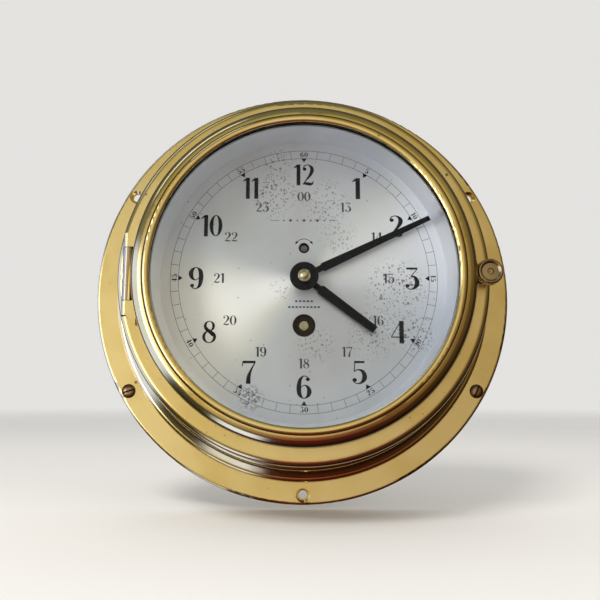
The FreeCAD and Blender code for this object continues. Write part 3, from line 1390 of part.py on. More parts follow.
def regulator():
    """Toothed index that turns about the cock's boss, and the arbor that sets it."""
    d = dims
    teeth, leaves = int(d.index_teeth.number), int(d.regulator_pinion_teeth.number)
    module = float(d.index_module)
    rack = gear_wire(teeth, module, leaves, 0.5, 0.9, 1.0, sector=(-7, 8))
    bore = circle_wire(d.index_boss_radius + d.running_clearance)
    hub = prism([circle_wire(2.6)], d.index_thickness)
    plate = prism([rack], d.index_thickness).fuse(hub)
    spring_angle = math.radians(float(d.curb_angle))
    turns_left = (360.0 - (float(d.curb_angle) - 90.0 - float(d.hairspring_turn)) % 360.0) / 360.0
    pitch = (float(d.hairspring_radius) - HAIRSPRING_START) / d.hairspring_coils.number
    coil_radius = float(d.hairspring_radius) - pitch * turns_left
    pin_reach = float(d.hairspring_back + d.hairspring_height - d.index_back)
    arm_end = Vector(math.cos(spring_angle), math.sin(spring_angle), 0) * (coil_radius + 0.5)
    way = Vector(-arm_end.y, arm_end.x, 0).normalize() * 0.5
    arm = prism([Part.makePolygon([way, arm_end + way, arm_end - way, way * -1, way])],
                d.index_thickness)
    plate = plate.fuse(arm)
    for offset in (-0.21, 0.21):
        spot = Vector(math.cos(spring_angle), math.sin(spring_angle), 0) * (coil_radius + offset)
        plate = plate.fuse(Part.makeCylinder(0.1, pin_reach, spot))
    plate = plate.cut(prism([bore], d.index_thickness))
    keep(shape_feature("RegulatorIndex", plate), "regulator_index",
         at("balance", -90.0, d.index_back))
    low = d.index_back - 0.1
    seat = d.dial_back - 0.9
    shaft = spindle("RegulatorShaft", [low - 0.1, (d.regulator_arbor_radius, seat),
                                       (1.4, d.dial_back)])
    half = d.regulator_square / 2
    pad(shaft, d.dial_back, d.dial_thickness - 0.4,
        outline=box_corners(0 - half, 0 - half, half, half))
    wires = [pinion_wire(leaves, module, teeth)]
    pinion = shape_feature("RegulatorLeaves", prism(wires, d.index_thickness + 0.3))
    pinion.Placement = Placement(Vector(0, 0, float(low)),
                                 Rotation(Vector(0, 0, 1), gap_turn(leaves, 90.0)))
    keep(fuse("RegulatorArbor", [shaft, pinion]), "regulator_arbor", at("regulator"))


PLACES = train_places()

case_body()
back_cover()
flange_screws()
case_knuckle()
hinge_pin()
bezel()
glazing()
thumb_screw()
dial_parts()
hands()
movement_frame()
barrel()
winding_arbor()
ratchet_wheel()
click_parts()
train()
motion_work()
escape_wheel()
lever_parts()
escape_cock()
balance_parts()
balance_cock()
cock_screws()
regulator()

doc.recompute()

# ---------------------------------------------------------------- checks and export

for item in doc.Objects:
    if "Invalid" in item.State or "Error" in item.State:
        raise ValueError("%s (%s) did not build: %s" % (item.Name, item.Label, item.State))
for piece in pieces:
    if piece.Shape.isNull() or not piece.Shape.isValid():
        raise ValueError("%s has no valid shape" % piece.Label)

os.makedirs("parts", exist_ok=True)
for piece in pieces:
    piece.Shape.exportStep("parts/%s.step" % piece.Label)
print("%d pieces written" % len(pieces))
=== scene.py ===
import math

import bpy
import bmesh
from mathutils import Matrix, Vector


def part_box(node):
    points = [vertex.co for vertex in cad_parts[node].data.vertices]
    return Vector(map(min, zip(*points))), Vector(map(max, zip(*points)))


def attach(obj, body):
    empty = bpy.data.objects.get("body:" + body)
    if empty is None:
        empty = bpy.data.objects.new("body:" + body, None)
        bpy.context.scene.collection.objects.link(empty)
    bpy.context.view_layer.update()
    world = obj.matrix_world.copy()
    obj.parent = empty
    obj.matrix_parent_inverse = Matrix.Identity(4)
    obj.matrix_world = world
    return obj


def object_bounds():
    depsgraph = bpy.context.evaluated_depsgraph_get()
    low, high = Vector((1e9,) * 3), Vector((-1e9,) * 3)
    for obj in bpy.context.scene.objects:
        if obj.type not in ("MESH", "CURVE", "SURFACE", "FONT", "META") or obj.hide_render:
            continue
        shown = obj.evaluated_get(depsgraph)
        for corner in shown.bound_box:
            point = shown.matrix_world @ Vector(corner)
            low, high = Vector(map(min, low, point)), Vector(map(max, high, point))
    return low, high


# Looks for the ship's deck clock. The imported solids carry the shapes; this script adds
# materials, the dial's printing, lights and the camera. Units are metres in the part's
# frame: X to 3 o'clock, Z to 12 o'clock, and the dial faces -Y.

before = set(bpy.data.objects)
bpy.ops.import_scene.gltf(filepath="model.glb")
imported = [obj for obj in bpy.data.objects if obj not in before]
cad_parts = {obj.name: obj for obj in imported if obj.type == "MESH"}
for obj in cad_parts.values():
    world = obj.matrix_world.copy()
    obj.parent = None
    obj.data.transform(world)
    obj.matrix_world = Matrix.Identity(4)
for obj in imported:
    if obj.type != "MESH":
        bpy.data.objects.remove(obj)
cad_low, cad_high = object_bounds()
MM = 0.001

# heights of the dial and the glass above the wall, in millimetres
DIAL_FACE = -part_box("dial")[0].y / MM
GLASS_FACE = -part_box("glass")[0].y / MM


# ---------------------------------------------------------------- node helpers

class Graph:
    """The node tree of a material or a world, with short ways to add and join nodes."""

    def __init__(self, owner, output="ShaderNodeOutputMaterial"):
        owner.use_nodes = True
        self.owner = owner
        self.tree = owner.node_tree
        self.tree.nodes.clear()
        self.output = self.add(output)

    def add(self, kind):
        return self.tree.nodes.new(kind)

    def feed(self, node, socket, value):
        """Sets an input from a number, a colour or another node's output."""
        target = node.inputs[socket]
        if isinstance(value, bpy.types.NodeSocket):
            self.tree.links.new(value, target)
        elif isinstance(value, (tuple, list)):
            channels = list(value)
            if target.type == "RGBA" and len(channels) == 3:
                channels.append(1.0)
            target.default_value = channels
        else:
            target.default_value = value

    def calc(self, operation, first, second=0.0, clamp=False):
        """One sum on numbers, such as ADD or MAXIMUM."""
        made = self.add("ShaderNodeMath")
        made.operation = operation
        made.use_clamp = clamp
        self.feed(made, 0, first)
        self.feed(made, 1, second)
        return made.outputs[0]

    def product(self, first, second, clamp=False):
        return self.calc("MULTIPLY", first, second, clamp=clamp)

    def length(self, first, second):
        """Length of the hypotenuse over two sides."""
        square = self.calc("ADD", self.product(first, first), self.product(second, second))
        return self.calc("SQRT", square)

    def vector(self, operation, *values):
        """One sum on vectors."""
        made = self.add("ShaderNodeVectorMath")
        made.operation = operation
        for index, value in enumerate(values):
            self.feed(made, index, value)
        return made.outputs[0]

    def mix(self, share, first, second):
        """A colour that goes from the first to the second as share goes from 0 to 1."""
        made = self.add("ShaderNodeMix")
        made.data_type = "RGBA"
        self.feed(made, 0, share)
        self.feed(made, 6, first)
        self.feed(made, 7, second)
        return made.outputs[2]

    def ramp(self, value, low, high):
        """0 at low, 1 at high, smooth between; low may be the greater of the two."""
        made = self.add("ShaderNodeMapRange")
        made.interpolation_type = "SMOOTHSTEP"
        self.feed(made, "Value", value)
        self.feed(made, "From Min", low)
        self.feed(made, "From Max", high)
        return made.outputs[0]

    def place(self):
        """Object coordinates in millimetres."""
        coordinates = self.add("ShaderNodeTexCoord")
        scaled = self.add("ShaderNodeVectorMath")
        scaled.operation = "SCALE"
        self.feed(scaled, 0, coordinates.outputs["Object"])
        scaled.inputs["Scale"].default_value = 1.0 / MM
        return scaled.outputs[0]

    def split(self, vector):
        """The x, y and z of a vector."""
        made = self.add("ShaderNodeSeparateXYZ")
        self.feed(made, 0, vector)
        return made.outputs

    def join(self, x, y, z):
        made = self.add("ShaderNodeCombineXYZ")
        for index, value in enumerate((x, y, z)):
            self.feed(made, index, value)
        return made.outputs[0]

    def noise(self, where, scale, detail=2.0, rough=0.5):
        made = self.add("ShaderNodeTexNoise")
        self.feed(made, "Vector", where)
        self.feed(made, "Scale", scale)
        self.feed(made, "Detail", detail)
        self.feed(made, "Roughness", rough)
        return made.outputs[0]

    def spots(self, where, scale, size, share):
        """Small round marks of one size, kept in a share of the cells."""
        made = self.add("ShaderNodeTexVoronoi")
        self.feed(made, "Vector", where)
        self.feed(made, "Scale", scale)
        self.feed(made, "Randomness", 1.0)
        near = self.ramp(made.outputs["Distance"], size, size * SPOT_CORE)
        drawn = self.add("ShaderNodeSeparateColor")
        self.feed(drawn, 0, made.outputs["Color"])
        kept = self.ramp(drawn.outputs[0], 1.0 - share, 1.0 - share * SPOT_FULL)
        return self.product(near, kept)

    def ring(self, turn, stops):
        """Colours round a circle, from (place on the circle 0..1, colour) stops."""
        made = self.add("ShaderNodeValToRGB")
        self.feed(made, 0, turn)
        held = made.color_ramp.elements
        while len(held) < len(stops):
            held.new(1.0)
        for element, (where, colour) in zip(held, stops):
            element.position = where
            element.color = tuple(colour) + (1.0,)
        return made.outputs[0]

    def openness(self, reach):
        """1 on open faces, falling to 0 deep in corners narrower than reach millimetres."""
        made = self.add("ShaderNodeAmbientOcclusion")
        made.samples = 8
        self.feed(made, "Distance", reach * MM)
        return made.outputs["AO"]

    def bump(self, height, strength, distance):
        """Normals of a surface whose relief is distance millimetres deep."""
        made = self.add("ShaderNodeBump")
        self.feed(made, "Height", height)
        self.feed(made, "Strength", strength)
        self.feed(made, "Distance", distance * MM)
        return made.outputs[0]

    def shader(self, kind, **inputs):
        made = self.add(kind)
        for key, value in inputs.items():
            self.feed(made, key.replace("_", " "), value)
        return made

    def surface(self, **inputs):
        """The Principled shader, sent to the output."""
        made = self.shader("ShaderNodeBsdfPrincipled", **inputs)
        self.feed(self.output, "Surface", made.outputs[0])
        return made

    def blend(self, share, first, second):
        """Two shaders mixed and sent to the output."""
        made = self.add("ShaderNodeMixShader")
        self.feed(made, 0, share)
        self.feed(made, 1, first.outputs[0])
        self.feed(made, 2, second.outputs[0])
        self.feed(self.output, "Surface", made.outputs[0])


SPOT_CORE = 0.45    # the share of a spot's radius that is fully marked
SPOT_FULL = 0.70    # the share of the kept spots that are at full strength


def new_material(name):
    return Graph(bpy.data.materials.new(name))


def shade(colour, factor):
    return tuple(factor * channel for channel in colour)


FLAT_COSINE = (0.97, 0.995)    # a face counts as flat between these cosines to the front


def facing_front(g):
    """1 on faces that look straight to the front, 0 on turned curves."""
    geometry = g.add("ShaderNodeNewGeometry")
    turned = g.add("ShaderNodeVectorTransform")
    turned.vector_type = "NORMAL"
    turned.convert_from = "WORLD"
    turned.convert_to = "OBJECT"
    g.feed(turned, 0, geometry.outputs["Normal"])
    towards_back = g.split(turned.outputs[0])[1]
    return g.ramp(g.product(towards_back, -1.0), *FLAT_COSINE)


# ---------------------------------------------------------------- materials

# Noise scales are in features per millimetre, and a ramp over noise takes limits from 0 to 1

BRASS_LIGHT = (0.84, 0.66, 0.29)
BRASS_WARM = (0.74, 0.55, 0.19)
WARM_SHADE = 0.85           # how dark a tinted brass's warm patches are
TARNISH = (0.16, 0.09, 0.04)
TARNISH_STRENGTH = 0.72
# painted shade in corners and narrow gaps: its colour, reach and strength
CORNER_SHADE = (0.06, 0.035, 0.018)
CORNER_REACH = 2.6          # width of the corners that get painted shade, in millimetres
CORNER_STRENGTH = 0.92
# painted shade: near-black on the case wall behind the bezel, as the dark gap round the glass
INSIDE_SHADE = (0.012, 0.008, 0.006)
INSIDE_RADIUS = 65.0        # the case wall behind the bezel, in millimetres
INSIDE_DEPTH = (2.0, 3.0)   # the painted shade darkens it between these depths below the glass's front
TURNED_RINGS = 3.4          # how closely tool marks follow each other along the radius
FINE_RINGS = 14.0


def case_brass(name, flat_roughness=0.33, turned_roughness=0.12, tarnish=1.0, tint=None,
               painted_shade_inside=False):
    """Polished brass: satin on flat faces, bright on the turned mouldings, lightly spotted, with
    painted shade in its corners.
    """
    g = new_material(name)
    where = g.place()
    x, y, z = g.split(where)
    radius = g.length(x, z)
    cloud = g.noise(where, 0.035, 3.0)
    grain = g.noise(where, 1.6, 3.0, 0.6)

    light = tint or BRASS_LIGHT
    warm = shade(tint, WARM_SHADE) if tint else BRASS_WARM
    tone = g.mix(g.ramp(cloud, 0.35, 0.7), light, warm)
    tone = g.mix(g.product(g.ramp(grain, 0.45, 0.75), 0.16), tone, warm)
    marks = g.spots(where, scale=0.16, size=0.16, share=0.10)
    specks = g.product(g.spots(where, scale=0.55, size=0.20, share=0.10),
                       g.ramp(cloud, 0.40, 0.62))
    dirt = g.product(g.calc("ADD", marks, specks, clamp=True), TARNISH_STRENGTH * tarnish)
    tone = g.mix(dirt, tone, TARNISH)
    # painted shade: ambient occlusion darkens the brass in corners and narrow gaps
    corners = g.product(g.ramp(g.openness(CORNER_REACH), 0.66, 0.26), CORNER_STRENGTH)
    tone = g.mix(corners, tone, CORNER_SHADE)
    # painted shade: the case wall just behind the bezel's opening turns near-black
    if painted_shade_inside:
        within = g.ramp(radius, INSIDE_RADIUS + 0.3, INSIDE_RADIUS - 0.1)
        behind = g.ramp(g.product(y, -1.0), GLASS_FACE - INSIDE_DEPTH[0],
                        GLASS_FACE - INSIDE_DEPTH[1])
        tone = g.mix(g.product(within, behind), tone, INSIDE_SHADE)

    rough = g.calc("ADD", turned_roughness,
                   g.product(facing_front(g), flat_roughness - turned_roughness))
    rough = g.calc("ADD", rough, g.product(grain, 0.07))
    rough = g.calc("ADD", rough, g.product(dirt, 0.35), clamp=True)

    rings = g.noise(g.join(g.product(radius, TURNED_RINGS), y, 0.0), 1.0, 2.0)
    fine = g.noise(g.join(g.product(radius, FINE_RINGS), g.product(y, FINE_RINGS), 0.0),
                   1.0, 3.0, 0.7)
    height = g.calc("ADD", g.product(rings, 0.25), g.product(fine, 0.3))
    height = g.calc("ADD", height, g.product(grain, 0.15))
    g.surface(Base_Color=tone, Metallic=1.0, Roughness=rough,
              Normal=g.bump(height, 0.03, 0.03))
    return g.owner


def worn_brass(name, colour=(0.70, 0.47, 0.16), roughness=0.3, scratch=0.15):
    """Plain working brass of the movement and small fittings, scratched from side to side."""
    g = new_material(name)
    where = g.place()
    x, y, z = g.split(where)
    cloud = g.noise(where, 0.25, 4.0, 0.6)
    scratches = g.noise(g.join(g.product(x, 0.7), y, g.product(z, 9.0)), 1.2, 3.0)
    tone = g.mix(g.ramp(cloud, 0.35, 0.75), colour, shade(colour, 0.62))
    rough = g.calc("ADD", roughness, g.product(scratches, 0.15))
    g.surface(Base_Color=tone, Metallic=1.0, Roughness=rough,
              Normal=g.bump(scratches, scratch, 0.03))
    return g.owner


# the crown's light colour is a painted highlight, the slot's near-black painted shade
SCREW_TONED = (0.13, 0.065, 0.035)
SCREW_CROWN_SHEEN = (0.42, 0.26, 0.14)
SCREW_CLOUD = (0.10, 0.05, 0.03)
SCREW_SLOT_SHADE = (0.006, 0.004, 0.003)
# depths below the crown, in millimetres: where the toning is whole and where the painted highlight
# on the crown is full, then where the painted shade in the slot starts and where it is full
SCREW_TONED_DEPTH, SCREW_SHEEN_DEPTH = 0.45, 0.10
SLOT_SHADE_START, SLOT_SHADE_FULL = 0.55, 0.85
WALL_FADE = (-0.5, 0.5)     # the painted shade stops at the wall, between these heights


def slotted_brass(name):
    """Dark toned screws, with a painted highlight on the crown and painted shade in the slot and
    round the rim.
    """
    g = new_material(name)
    where = g.place()
    crown = -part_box("flange_screws")[0].y / MM
    height = g.product(g.split(where)[1], -1.0)
    # painted highlight: the colour lightens towards the crown
    worn = g.ramp(height, crown - SCREW_TONED_DEPTH, crown - SCREW_SHEEN_DEPTH)
    # painted shade: near-black, matt and not metal in the slot and round the rim
    below = g.ramp(height, crown - SLOT_SHADE_START, crown - SLOT_SHADE_FULL)
    slot = g.product(below, g.ramp(height, *WALL_FADE))
    cloud = g.noise(where, 0.9, 3.0)
    tone = g.mix(worn, SCREW_TONED, SCREW_CROWN_SHEEN)
    tone = g.mix(g.product(cloud, 0.4), tone, SCREW_CLOUD)
    tone = g.mix(slot, tone, SCREW_SLOT_SHADE)
    g.surface(Base_Color=tone, Metallic=g.calc("SUBTRACT", 1.0, slot),
              Roughness=g.calc("ADD", 0.28, g.product(slot, 0.5)),
              Normal=g.bump(cloud, 0.2, 0.04))
    return g.owner


def steel(name, colour=(0.55, 0.56, 0.58), roughness=0.22):
    """Polished steel with faint lines across the clock's axis, as turning leaves them."""
    g = new_material(name)
    where = g.place()
    x, y, z = g.split(where)
    cloud = g.noise(where, 0.4, 3.0)
    lines = g.noise(g.join(x, g.product(y, 12.0), z), 1.0, 3.0)
    tone = g.mix(g.ramp(cloud, 0.3, 0.7), colour, shade(colour, 0.75))
    rough = g.calc("ADD", roughness, g.product(lines, 0.12))
    g.surface(Base_Color=tone, Metallic=1.0, Roughness=rough,
              Normal=g.bump(lines, 0.1, 0.02))
    return g.owner


# The dial's clusters of age spots: centre x and z and reach in millimetres, and strength
STAINS = [(-13.0, 38.0, 13.0, 1.3), (9.0, 34.0, 14.0, 0.9), (40.0, -5.0, 17.0, 1.3),
          (30.0, -24.0, 15.0, 0.8), (5.0, -29.0, 11.0, 0.8), (15.0, 19.0, 11.0, 0.6),
          (48.0, -24.0, 12.0, 1.0), (-12.0, 53.0, 9.0, 0.8), (-10.0, -5.0, 7.0, 0.5)]
BLOTCH = (-22.7, -52.0, 7.0, 1.0)
STAIN_CORE = 0.25       # the share of a cluster's reach that has its full strength


def spot_mask(g, x, z, stains):
    """How strongly each place on the dial belongs to a cluster of age spots."""
    total = None
    for centre_x, centre_z, reach, strength in stains:
        away = g.length(g.calc("SUBTRACT", x, centre_x), g.calc("SUBTRACT", z, centre_z))
        share = g.product(g.ramp(away, reach, reach * STAIN_CORE), strength, clamp=True)
        total = share if total is None else g.calc("MAXIMUM", total, share)
    return total


SILVER_COOL = (0.84, 0.88, 0.98)
SILVER_DULL = (0.79, 0.82, 0.89)
SILVER_PLAIN = (0.77, 0.78, 0.83)
# the colour of the painted highlight along one line across the dial
SILVER_HIGHLIGHT = (0.97, 0.96, 0.94)
SILVER_GROOVE = (0.42, 0.42, 0.42)
AGE_SPOT = (0.13, 0.125, 0.12)
HIGHLIGHT_LINE = math.radians(203.0)    # the painted highlight's direction, anticlockwise from 3 o'clock
HIGHLIGHT_FAR_SIDE = 0.45               # how strong the painted highlight is on the opposite side of the axis
GROOVE_LEAN = 0.10                  # how far the brushed grooves lean outwards
ACROSS_GROOVES = 0.25               # a quarter turn of the highlight, from along to across
BRUSHING = 9.0                      # how closely grooves follow each other along the radius


def silvered(name, stained):
    """Silvered brass, brushed in circles about the clock's axis, with a painted highlight along one
    line; stained means aged.
    """
    g = new_material(name)
    where = g.place()
    x, _, z = g.split(where)
    radius = g.length(x, z)
    cloud = g.noise(where, 0.05, 3.0)
    brushed = g.noise(g.join(g.product(radius, BRUSHING), g.product(x, 0.05),
                             g.product(z, 0.05)), 1.0, 3.0, 0.7)
    tone = g.mix(g.ramp(cloud, 0.35, 0.7), SILVER_COOL if stained else SILVER_PLAIN, SILVER_DULL)

    # painted highlight: the silvering is lighter and warmer along one line across the dial
    away = g.calc("MAXIMUM", radius, 1.0)
    across = g.calc("DIVIDE", x, away)
    up = g.calc("DIVIDE", z, away)
    along = g.calc("ADD", g.product(across, math.cos(HIGHLIGHT_LINE)),
                   g.product(up, math.sin(HIGHLIGHT_LINE)))
    painted_highlight = g.calc("MAXIMUM", g.ramp(along, 0.70, 0.99),
                   g.product(g.ramp(along, -0.75, -0.99), HIGHLIGHT_FAR_SIDE))
    tone = g.mix(painted_highlight, tone, SILVER_HIGHLIGHT)
    tone = g.mix(g.product(brushed, 0.10), tone, SILVER_GROOVE)

    rough = g.calc("ADD", 0.48 if stained else 0.26, g.product(cloud, 0.06))
    metal = 0.62
    normal = g.bump(brushed, 0.04, 0.02)
    if stained:
        clusters = spot_mask(g, x, z, STAINS)
        wide = g.product(g.spots(where, scale=0.50, size=0.40, share=0.70), clusters)
        small = g.product(g.spots(where, scale=0.90, size=0.42, share=0.75), clusters)
        loose = g.product(g.spots(where, scale=0.35, size=0.15, share=0.22), 0.6)
        blotch = g.product(spot_mask(g, x, z, [BLOTCH]),
                           g.ramp(g.noise(where, 0.8, 4.0), 0.44, 0.60))
        spots = g.calc("MAXIMUM", g.calc("MAXIMUM", wide, small),
                       g.calc("MAXIMUM", loose, blotch))
        spots = g.product(spots, 0.9)
        tone = g.mix(spots, tone, AGE_SPOT)
        rough = g.calc("ADD", rough, g.product(spots, 0.4), clamp=True)
        metal = g.calc("SUBTRACT", 0.84, g.product(spots, 0.6))
        outward = g.join(across, 0.0, up)
        leaning = g.vector("MULTIPLY_ADD", outward, (GROOVE_LEAN, 0.0, GROOVE_LEAN), normal)
        normal = g.vector("NORMALIZE", leaning)

    circles = g.add("ShaderNodeTangent")
    circles.direction_type = "RADIAL"
    circles.axis = "Y"
    g.surface(Base_Color=tone, Metallic=metal, Roughness=rough,
              Anisotropic=0.9 if stained else 0.3, Anisotropic_Rotation=ACROSS_GROOVES,
              Tangent=circles.outputs[0], Normal=normal)
    return g.owner


def black_enamel(name):
    """Black paint of the hands, nearly matt."""
    g = new_material(name)
    grain = g.noise(g.place(), 3.0, 3.0)
    tone = g.mix(g.ramp(grain, 0.3, 0.8), (0.003, 0.003, 0.004), (0.008, 0.008, 0.009))
    rough = g.calc("ADD", 0.40, g.product(grain, 0.12))
    g.surface(Base_Color=tone, Metallic=0.0, Roughness=rough, Specular_IOR_Level=0.14,
              Normal=g.bump(grain, 0.05, 0.02))
    return g.owner


def printing_ink(name, colour):
    """Matt ink, worn thin and greyer in places."""
    g = new_material(name)
    worn = g.noise(g.place(), 2.4, 3.0, 0.7)
    faded = tuple(min(1, channel * 2.4 + 0.05) for channel in colour)
    tone = g.mix(g.ramp(worn, 0.50, 0.80), colour, faded)
    g.surface(Base_Color=tone, Metallic=0.0, Roughness=0.6, Specular_IOR_Level=0.05,
              Normal=g.bump(worn, 0.05, 0.01))
    return g.owner


GLASS_TINT = (0.975, 0.985, 0.98)
GLASS_SHINE = 0.18      # how much of the real reflection the glass shows


def clear_glass(name):
    """Thin clear glass: see-through, with a faint reflection that grows towards the edge."""
    g = new_material(name)
    haze = g.noise(g.place(), 0.08, 3.0)
    through = g.shader("ShaderNodeBsdfTransparent", Color=GLASS_TINT)
    shine = g.shader("ShaderNodeBsdfGlossy", Roughness=g.product(haze, 0.05))
    fresnel = g.shader("ShaderNodeFresnel", IOR=1.35)
    g.blend(g.product(fresnel.outputs[0], GLASS_SHINE), through, shine)
    return g.owner


def ruby(name):
    """Clouded red jewel."""
    g = new_material(name)
    cloud = g.noise(g.place(), 2.0, 2.0)
    tone = g.mix(cloud, (0.45, 0.01, 0.05), (0.70, 0.05, 0.12))
    g.surface(Base_Color=tone, Roughness=0.08, Transmission_Weight=0.3, IOR=1.76)
    return g.owner


FLOOR_FADE = (600.0, 2600.0)    # the floor fades out between these radii, in millimetres


def pale_ground(name):
    """Pale floor that fades into the backdrop, so that no horizon shows."""
    g = new_material(name)
    where = g.place()
    x, y, _ = g.split(where)
    cloud = g.noise(where, 0.004, 3.0)
    tone = g.mix(cloud, (0.76, 0.75, 0.73), (0.71, 0.70, 0.68))
    ground = g.surface(Base_Color=tone, Roughness=0.85)
    clear = g.shader("ShaderNodeBsdfTransparent")
    g.blend(g.ramp(g.length(x, y), *FLOOR_FADE), ground, clear)
    return g.owner


FITTINGS = {
    "case_body": case_brass("brass_case", painted_shade_inside=True),
    "bezel": case_brass("brass_bezel", flat_roughness=0.2, turned_roughness=0.10, tarnish=0.7),
    "hinge_knuckle": case_brass("brass_hinge", turned_roughness=0.16, tarnish=0.5,
                                tint=(0.52, 0.44, 0.29)),
    "thumb_screw": case_brass("brass_knob", flat_roughness=0.2, turned_roughness=0.2,
                              tarnish=0.6, tint=(0.44, 0.33, 0.17)),
    "thumb_screw_clip": worn_brass("brass_clip"),
    "glass": clear_glass("glass_clear"),
    "glass_retaining_ring": worn_brass("brass_ring", (0.66, 0.45, 0.15)),
    "dial": silvered("silvered_dial", stained=True),
    "dial_surround": silvered("silvered_surround", stained=False),
    "minute_hand": black_enamel("black_minute"),
    "hour_hand": black_enamel("black_hour"),
    "hand_nut": case_brass("brass_nut", turned_roughness=0.25, tarnish=0.3,
                           tint=(0.86, 0.74, 0.42)),
    "flange_screws": slotted_brass("brass_screw_dark"),
    "back_cover": worn_brass("brass_back", (0.62, 0.43, 0.17), 0.38, 0.25),
    "back_cover_screws": worn_brass("brass_back_screws", (0.45, 0.30, 0.12), 0.35),
    "hinge_pin": steel("steel_pin"),
    "winding_arbor": steel("steel_winding", (0.46, 0.41, 0.28), 0.18),
    # painted shade: the regulator arbor, ratchet wheel and front plate, seen through the dial's
    # holes, are darkened to stand for the shade behind the dial
    "regulator_arbor": steel("steel_regulator", (0.20, 0.20, 0.21), 0.25),
    "ratchet_wheel": steel("steel_ratchet", (0.055, 0.045, 0.032), 0.5),
    "front_plate": worn_brass("brass_front_plate", (0.13, 0.09, 0.04), 0.5),
}
STEEL = steel("steel_polished")
BLUED = steel("steel_blued", (0.05, 0.08, 0.22), 0.2)
MOVEMENT = worn_brass("brass_movement", (0.78, 0.56, 0.22), 0.26, 0.1)
RUBY = ruby("ruby")
STEEL_NODES = {"centre_arbor", "intermediate_arbor", "third_arbor", "fourth_arbor",
               "escape_arbor", "click", "lever", "lever_staff",
               "balance_staff", "banking_pins", "mainspring", "minute_wheel_stud",
               "regulator_index", "cannon_pinion", "escape_wheel"}
BLUED_NODES = {"pillar_screws", "dial_screws", "click_screw", "click_spring",
               "cock_screws", "hairspring", "dial_foot_nuts"}
RUBY_NODES = {"pallet_stones", "impulse_pin"}


def finish_for(node):
    """The node's own material, or that of its family; the rest is movement brass."""
    if node in FITTINGS:
        return FITTINGS[node]
    for members, material in ((STEEL_NODES, STEEL), (BLUED_NODES, BLUED), (RUBY_NODES, RUBY)):
        if node in members:
            return material
    return MOVEMENT


for name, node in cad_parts.items():
    node.data.materials.clear()
    node.data.materials.append(finish_for(name))


# ---------------------------------------------------------------- dial printing

INK_RISE = 0.03    # how far the printing stands off the silvering, in millimetres


def dial_point(x, y, rise):
    """A point over the dial from millimetres across, up and off its face."""
    return Vector((x * MM, -(DIAL_FACE + rise) * MM, y * MM))


def slab(mesh, left, right, closed=False):
    """A thin raised band between two rows of points on the dial."""
    rows = [[mesh.verts.new(dial_point(x, y, rise)) for x, y in side]
            for side in (left, right) for rise in (INK_RISE, -INK_RISE)]
    top_left, low_left, top_right, low_right = rows
    count = len(left)
    last = count if closed else count - 1
    for index in range(last):
        after = (index + 1) % count
        for first, second in ((top_left, top_right), (top_right, low_right),
                              (low_right, low_left), (low_left, top_left)):
            mesh.faces.new((first[index], first[after], second[after], second[index]))
    if not closed:
        for index in (0, count - 1):
            mesh.faces.new((top_left[index], top_right[index], low_right[index],
                            low_left[index]))


SPLINE_STEPS = 7


def spline(points):
    """Catmull-Rom curve through (x, y, width) points."""
    path = []
    padded = [points[0]] + list(points) + [points[-1]]
    for index in range(len(points) - 1):
        a, b, c, d = padded[index:index + 4]
        for step in range(SPLINE_STEPS):
            t = step / SPLINE_STEPS
            path.append(tuple(
                0.5 * (2 * b[k] + (c[k] - a[k]) * t
                       + (2 * a[k] - 5 * b[k] + 4 * c[k] - d[k]) * t * t
                       + (3 * b[k] - a[k] - 3 * c[k] + d[k]) * t ** 3)
                for k in range(3)))
    path.append(tuple(points[-1]))
    return path


def edges_of(path, closed=False):
    """The two sides of a stroke of (x, y, width) points."""
    left, right = [], []
    count = len(path)
    for index, (x, y, width) in enumerate(path):
        before = path[index - 1] if index or closed else path[0]
        after = path[(index + 1) % count] if index < count - 1 or closed else path[-1]
        dx, dy = after[0] - before[0], after[1] - before[1]
        length = math.hypot(dx, dy) or 1.0
        nx, ny = -dy / length * width / 2, dx / length * width / 2
        left.append((x + nx, y + ny))
        right.append((x - nx, y - ny))
    return left, right


# Digits are drawn in a box one unit high, from strokes of (x, y, width) points
THICK, THIN = 0.17, 0.036
OVAL_STEPS = 40
OVAL_CONTRAST = 1.7     # how soon an oval's stroke thins towards its top and bottom


def oval(cx, cy, rx, ry, thick=THICK):
    """A closed oval, thick at its sides and thin at top and bottom."""
    points = []
    for step in range(OVAL_STEPS):
        angle = 2 * math.pi * step / OVAL_STEPS
        width = THIN + (thick - THIN) * abs(math.cos(angle)) ** OVAL_CONTRAST
        points.append((cx + rx * math.cos(angle), cy + ry * math.sin(angle), width))
    return ("closed", points)


BALL_TIP = 0.01         # width of a ball's two end points
BALL_INSET = 0.001      # how far inside its radius they stand


def ball(cx, cy, radius=0.082):
    """The round end of a stroke."""
    points = [(cx - radius + BALL_INSET, cy, BALL_TIP)]
    for degrees in range(160, 0, -20):
        angle = math.radians(degrees)
        points.append((cx + radius * math.cos(angle), cy, 2 * radius * math.sin(angle)))
    points.append((cx + radius - BALL_INSET, cy, BALL_TIP))
    return ("line", points)


def curve(*points):
    """A smooth stroke."""
    return ("line", spline(points))


def bar(*points):
    """A stroke of straight lines."""
    return ("line", list(points))


# the strokes of a six, which a nine shares upside down
SIX = [curve((0.44, 0.87, 0.05), (0.37, 0.96, 0.04), (0.25, 0.975, 0.05), (0.13, 0.80, 0.13),
             (0.09, 0.45, THICK), (0.13, 0.16, 0.14), (0.27, 0.02, THIN), (0.42, 0.12, 0.12),
             (0.47, 0.31, THICK), (0.42, 0.50, 0.11), (0.28, 0.585, THIN), (0.14, 0.46, THIN)),
       ball(0.42, 0.84, 0.075)]


def half_turn(strokes, width):
    """The strokes turned upside down in a box of the given width."""
    return [(kind, [(width - x, 1.0 - y, w) for x, y, w in points])
            for kind, points in strokes]


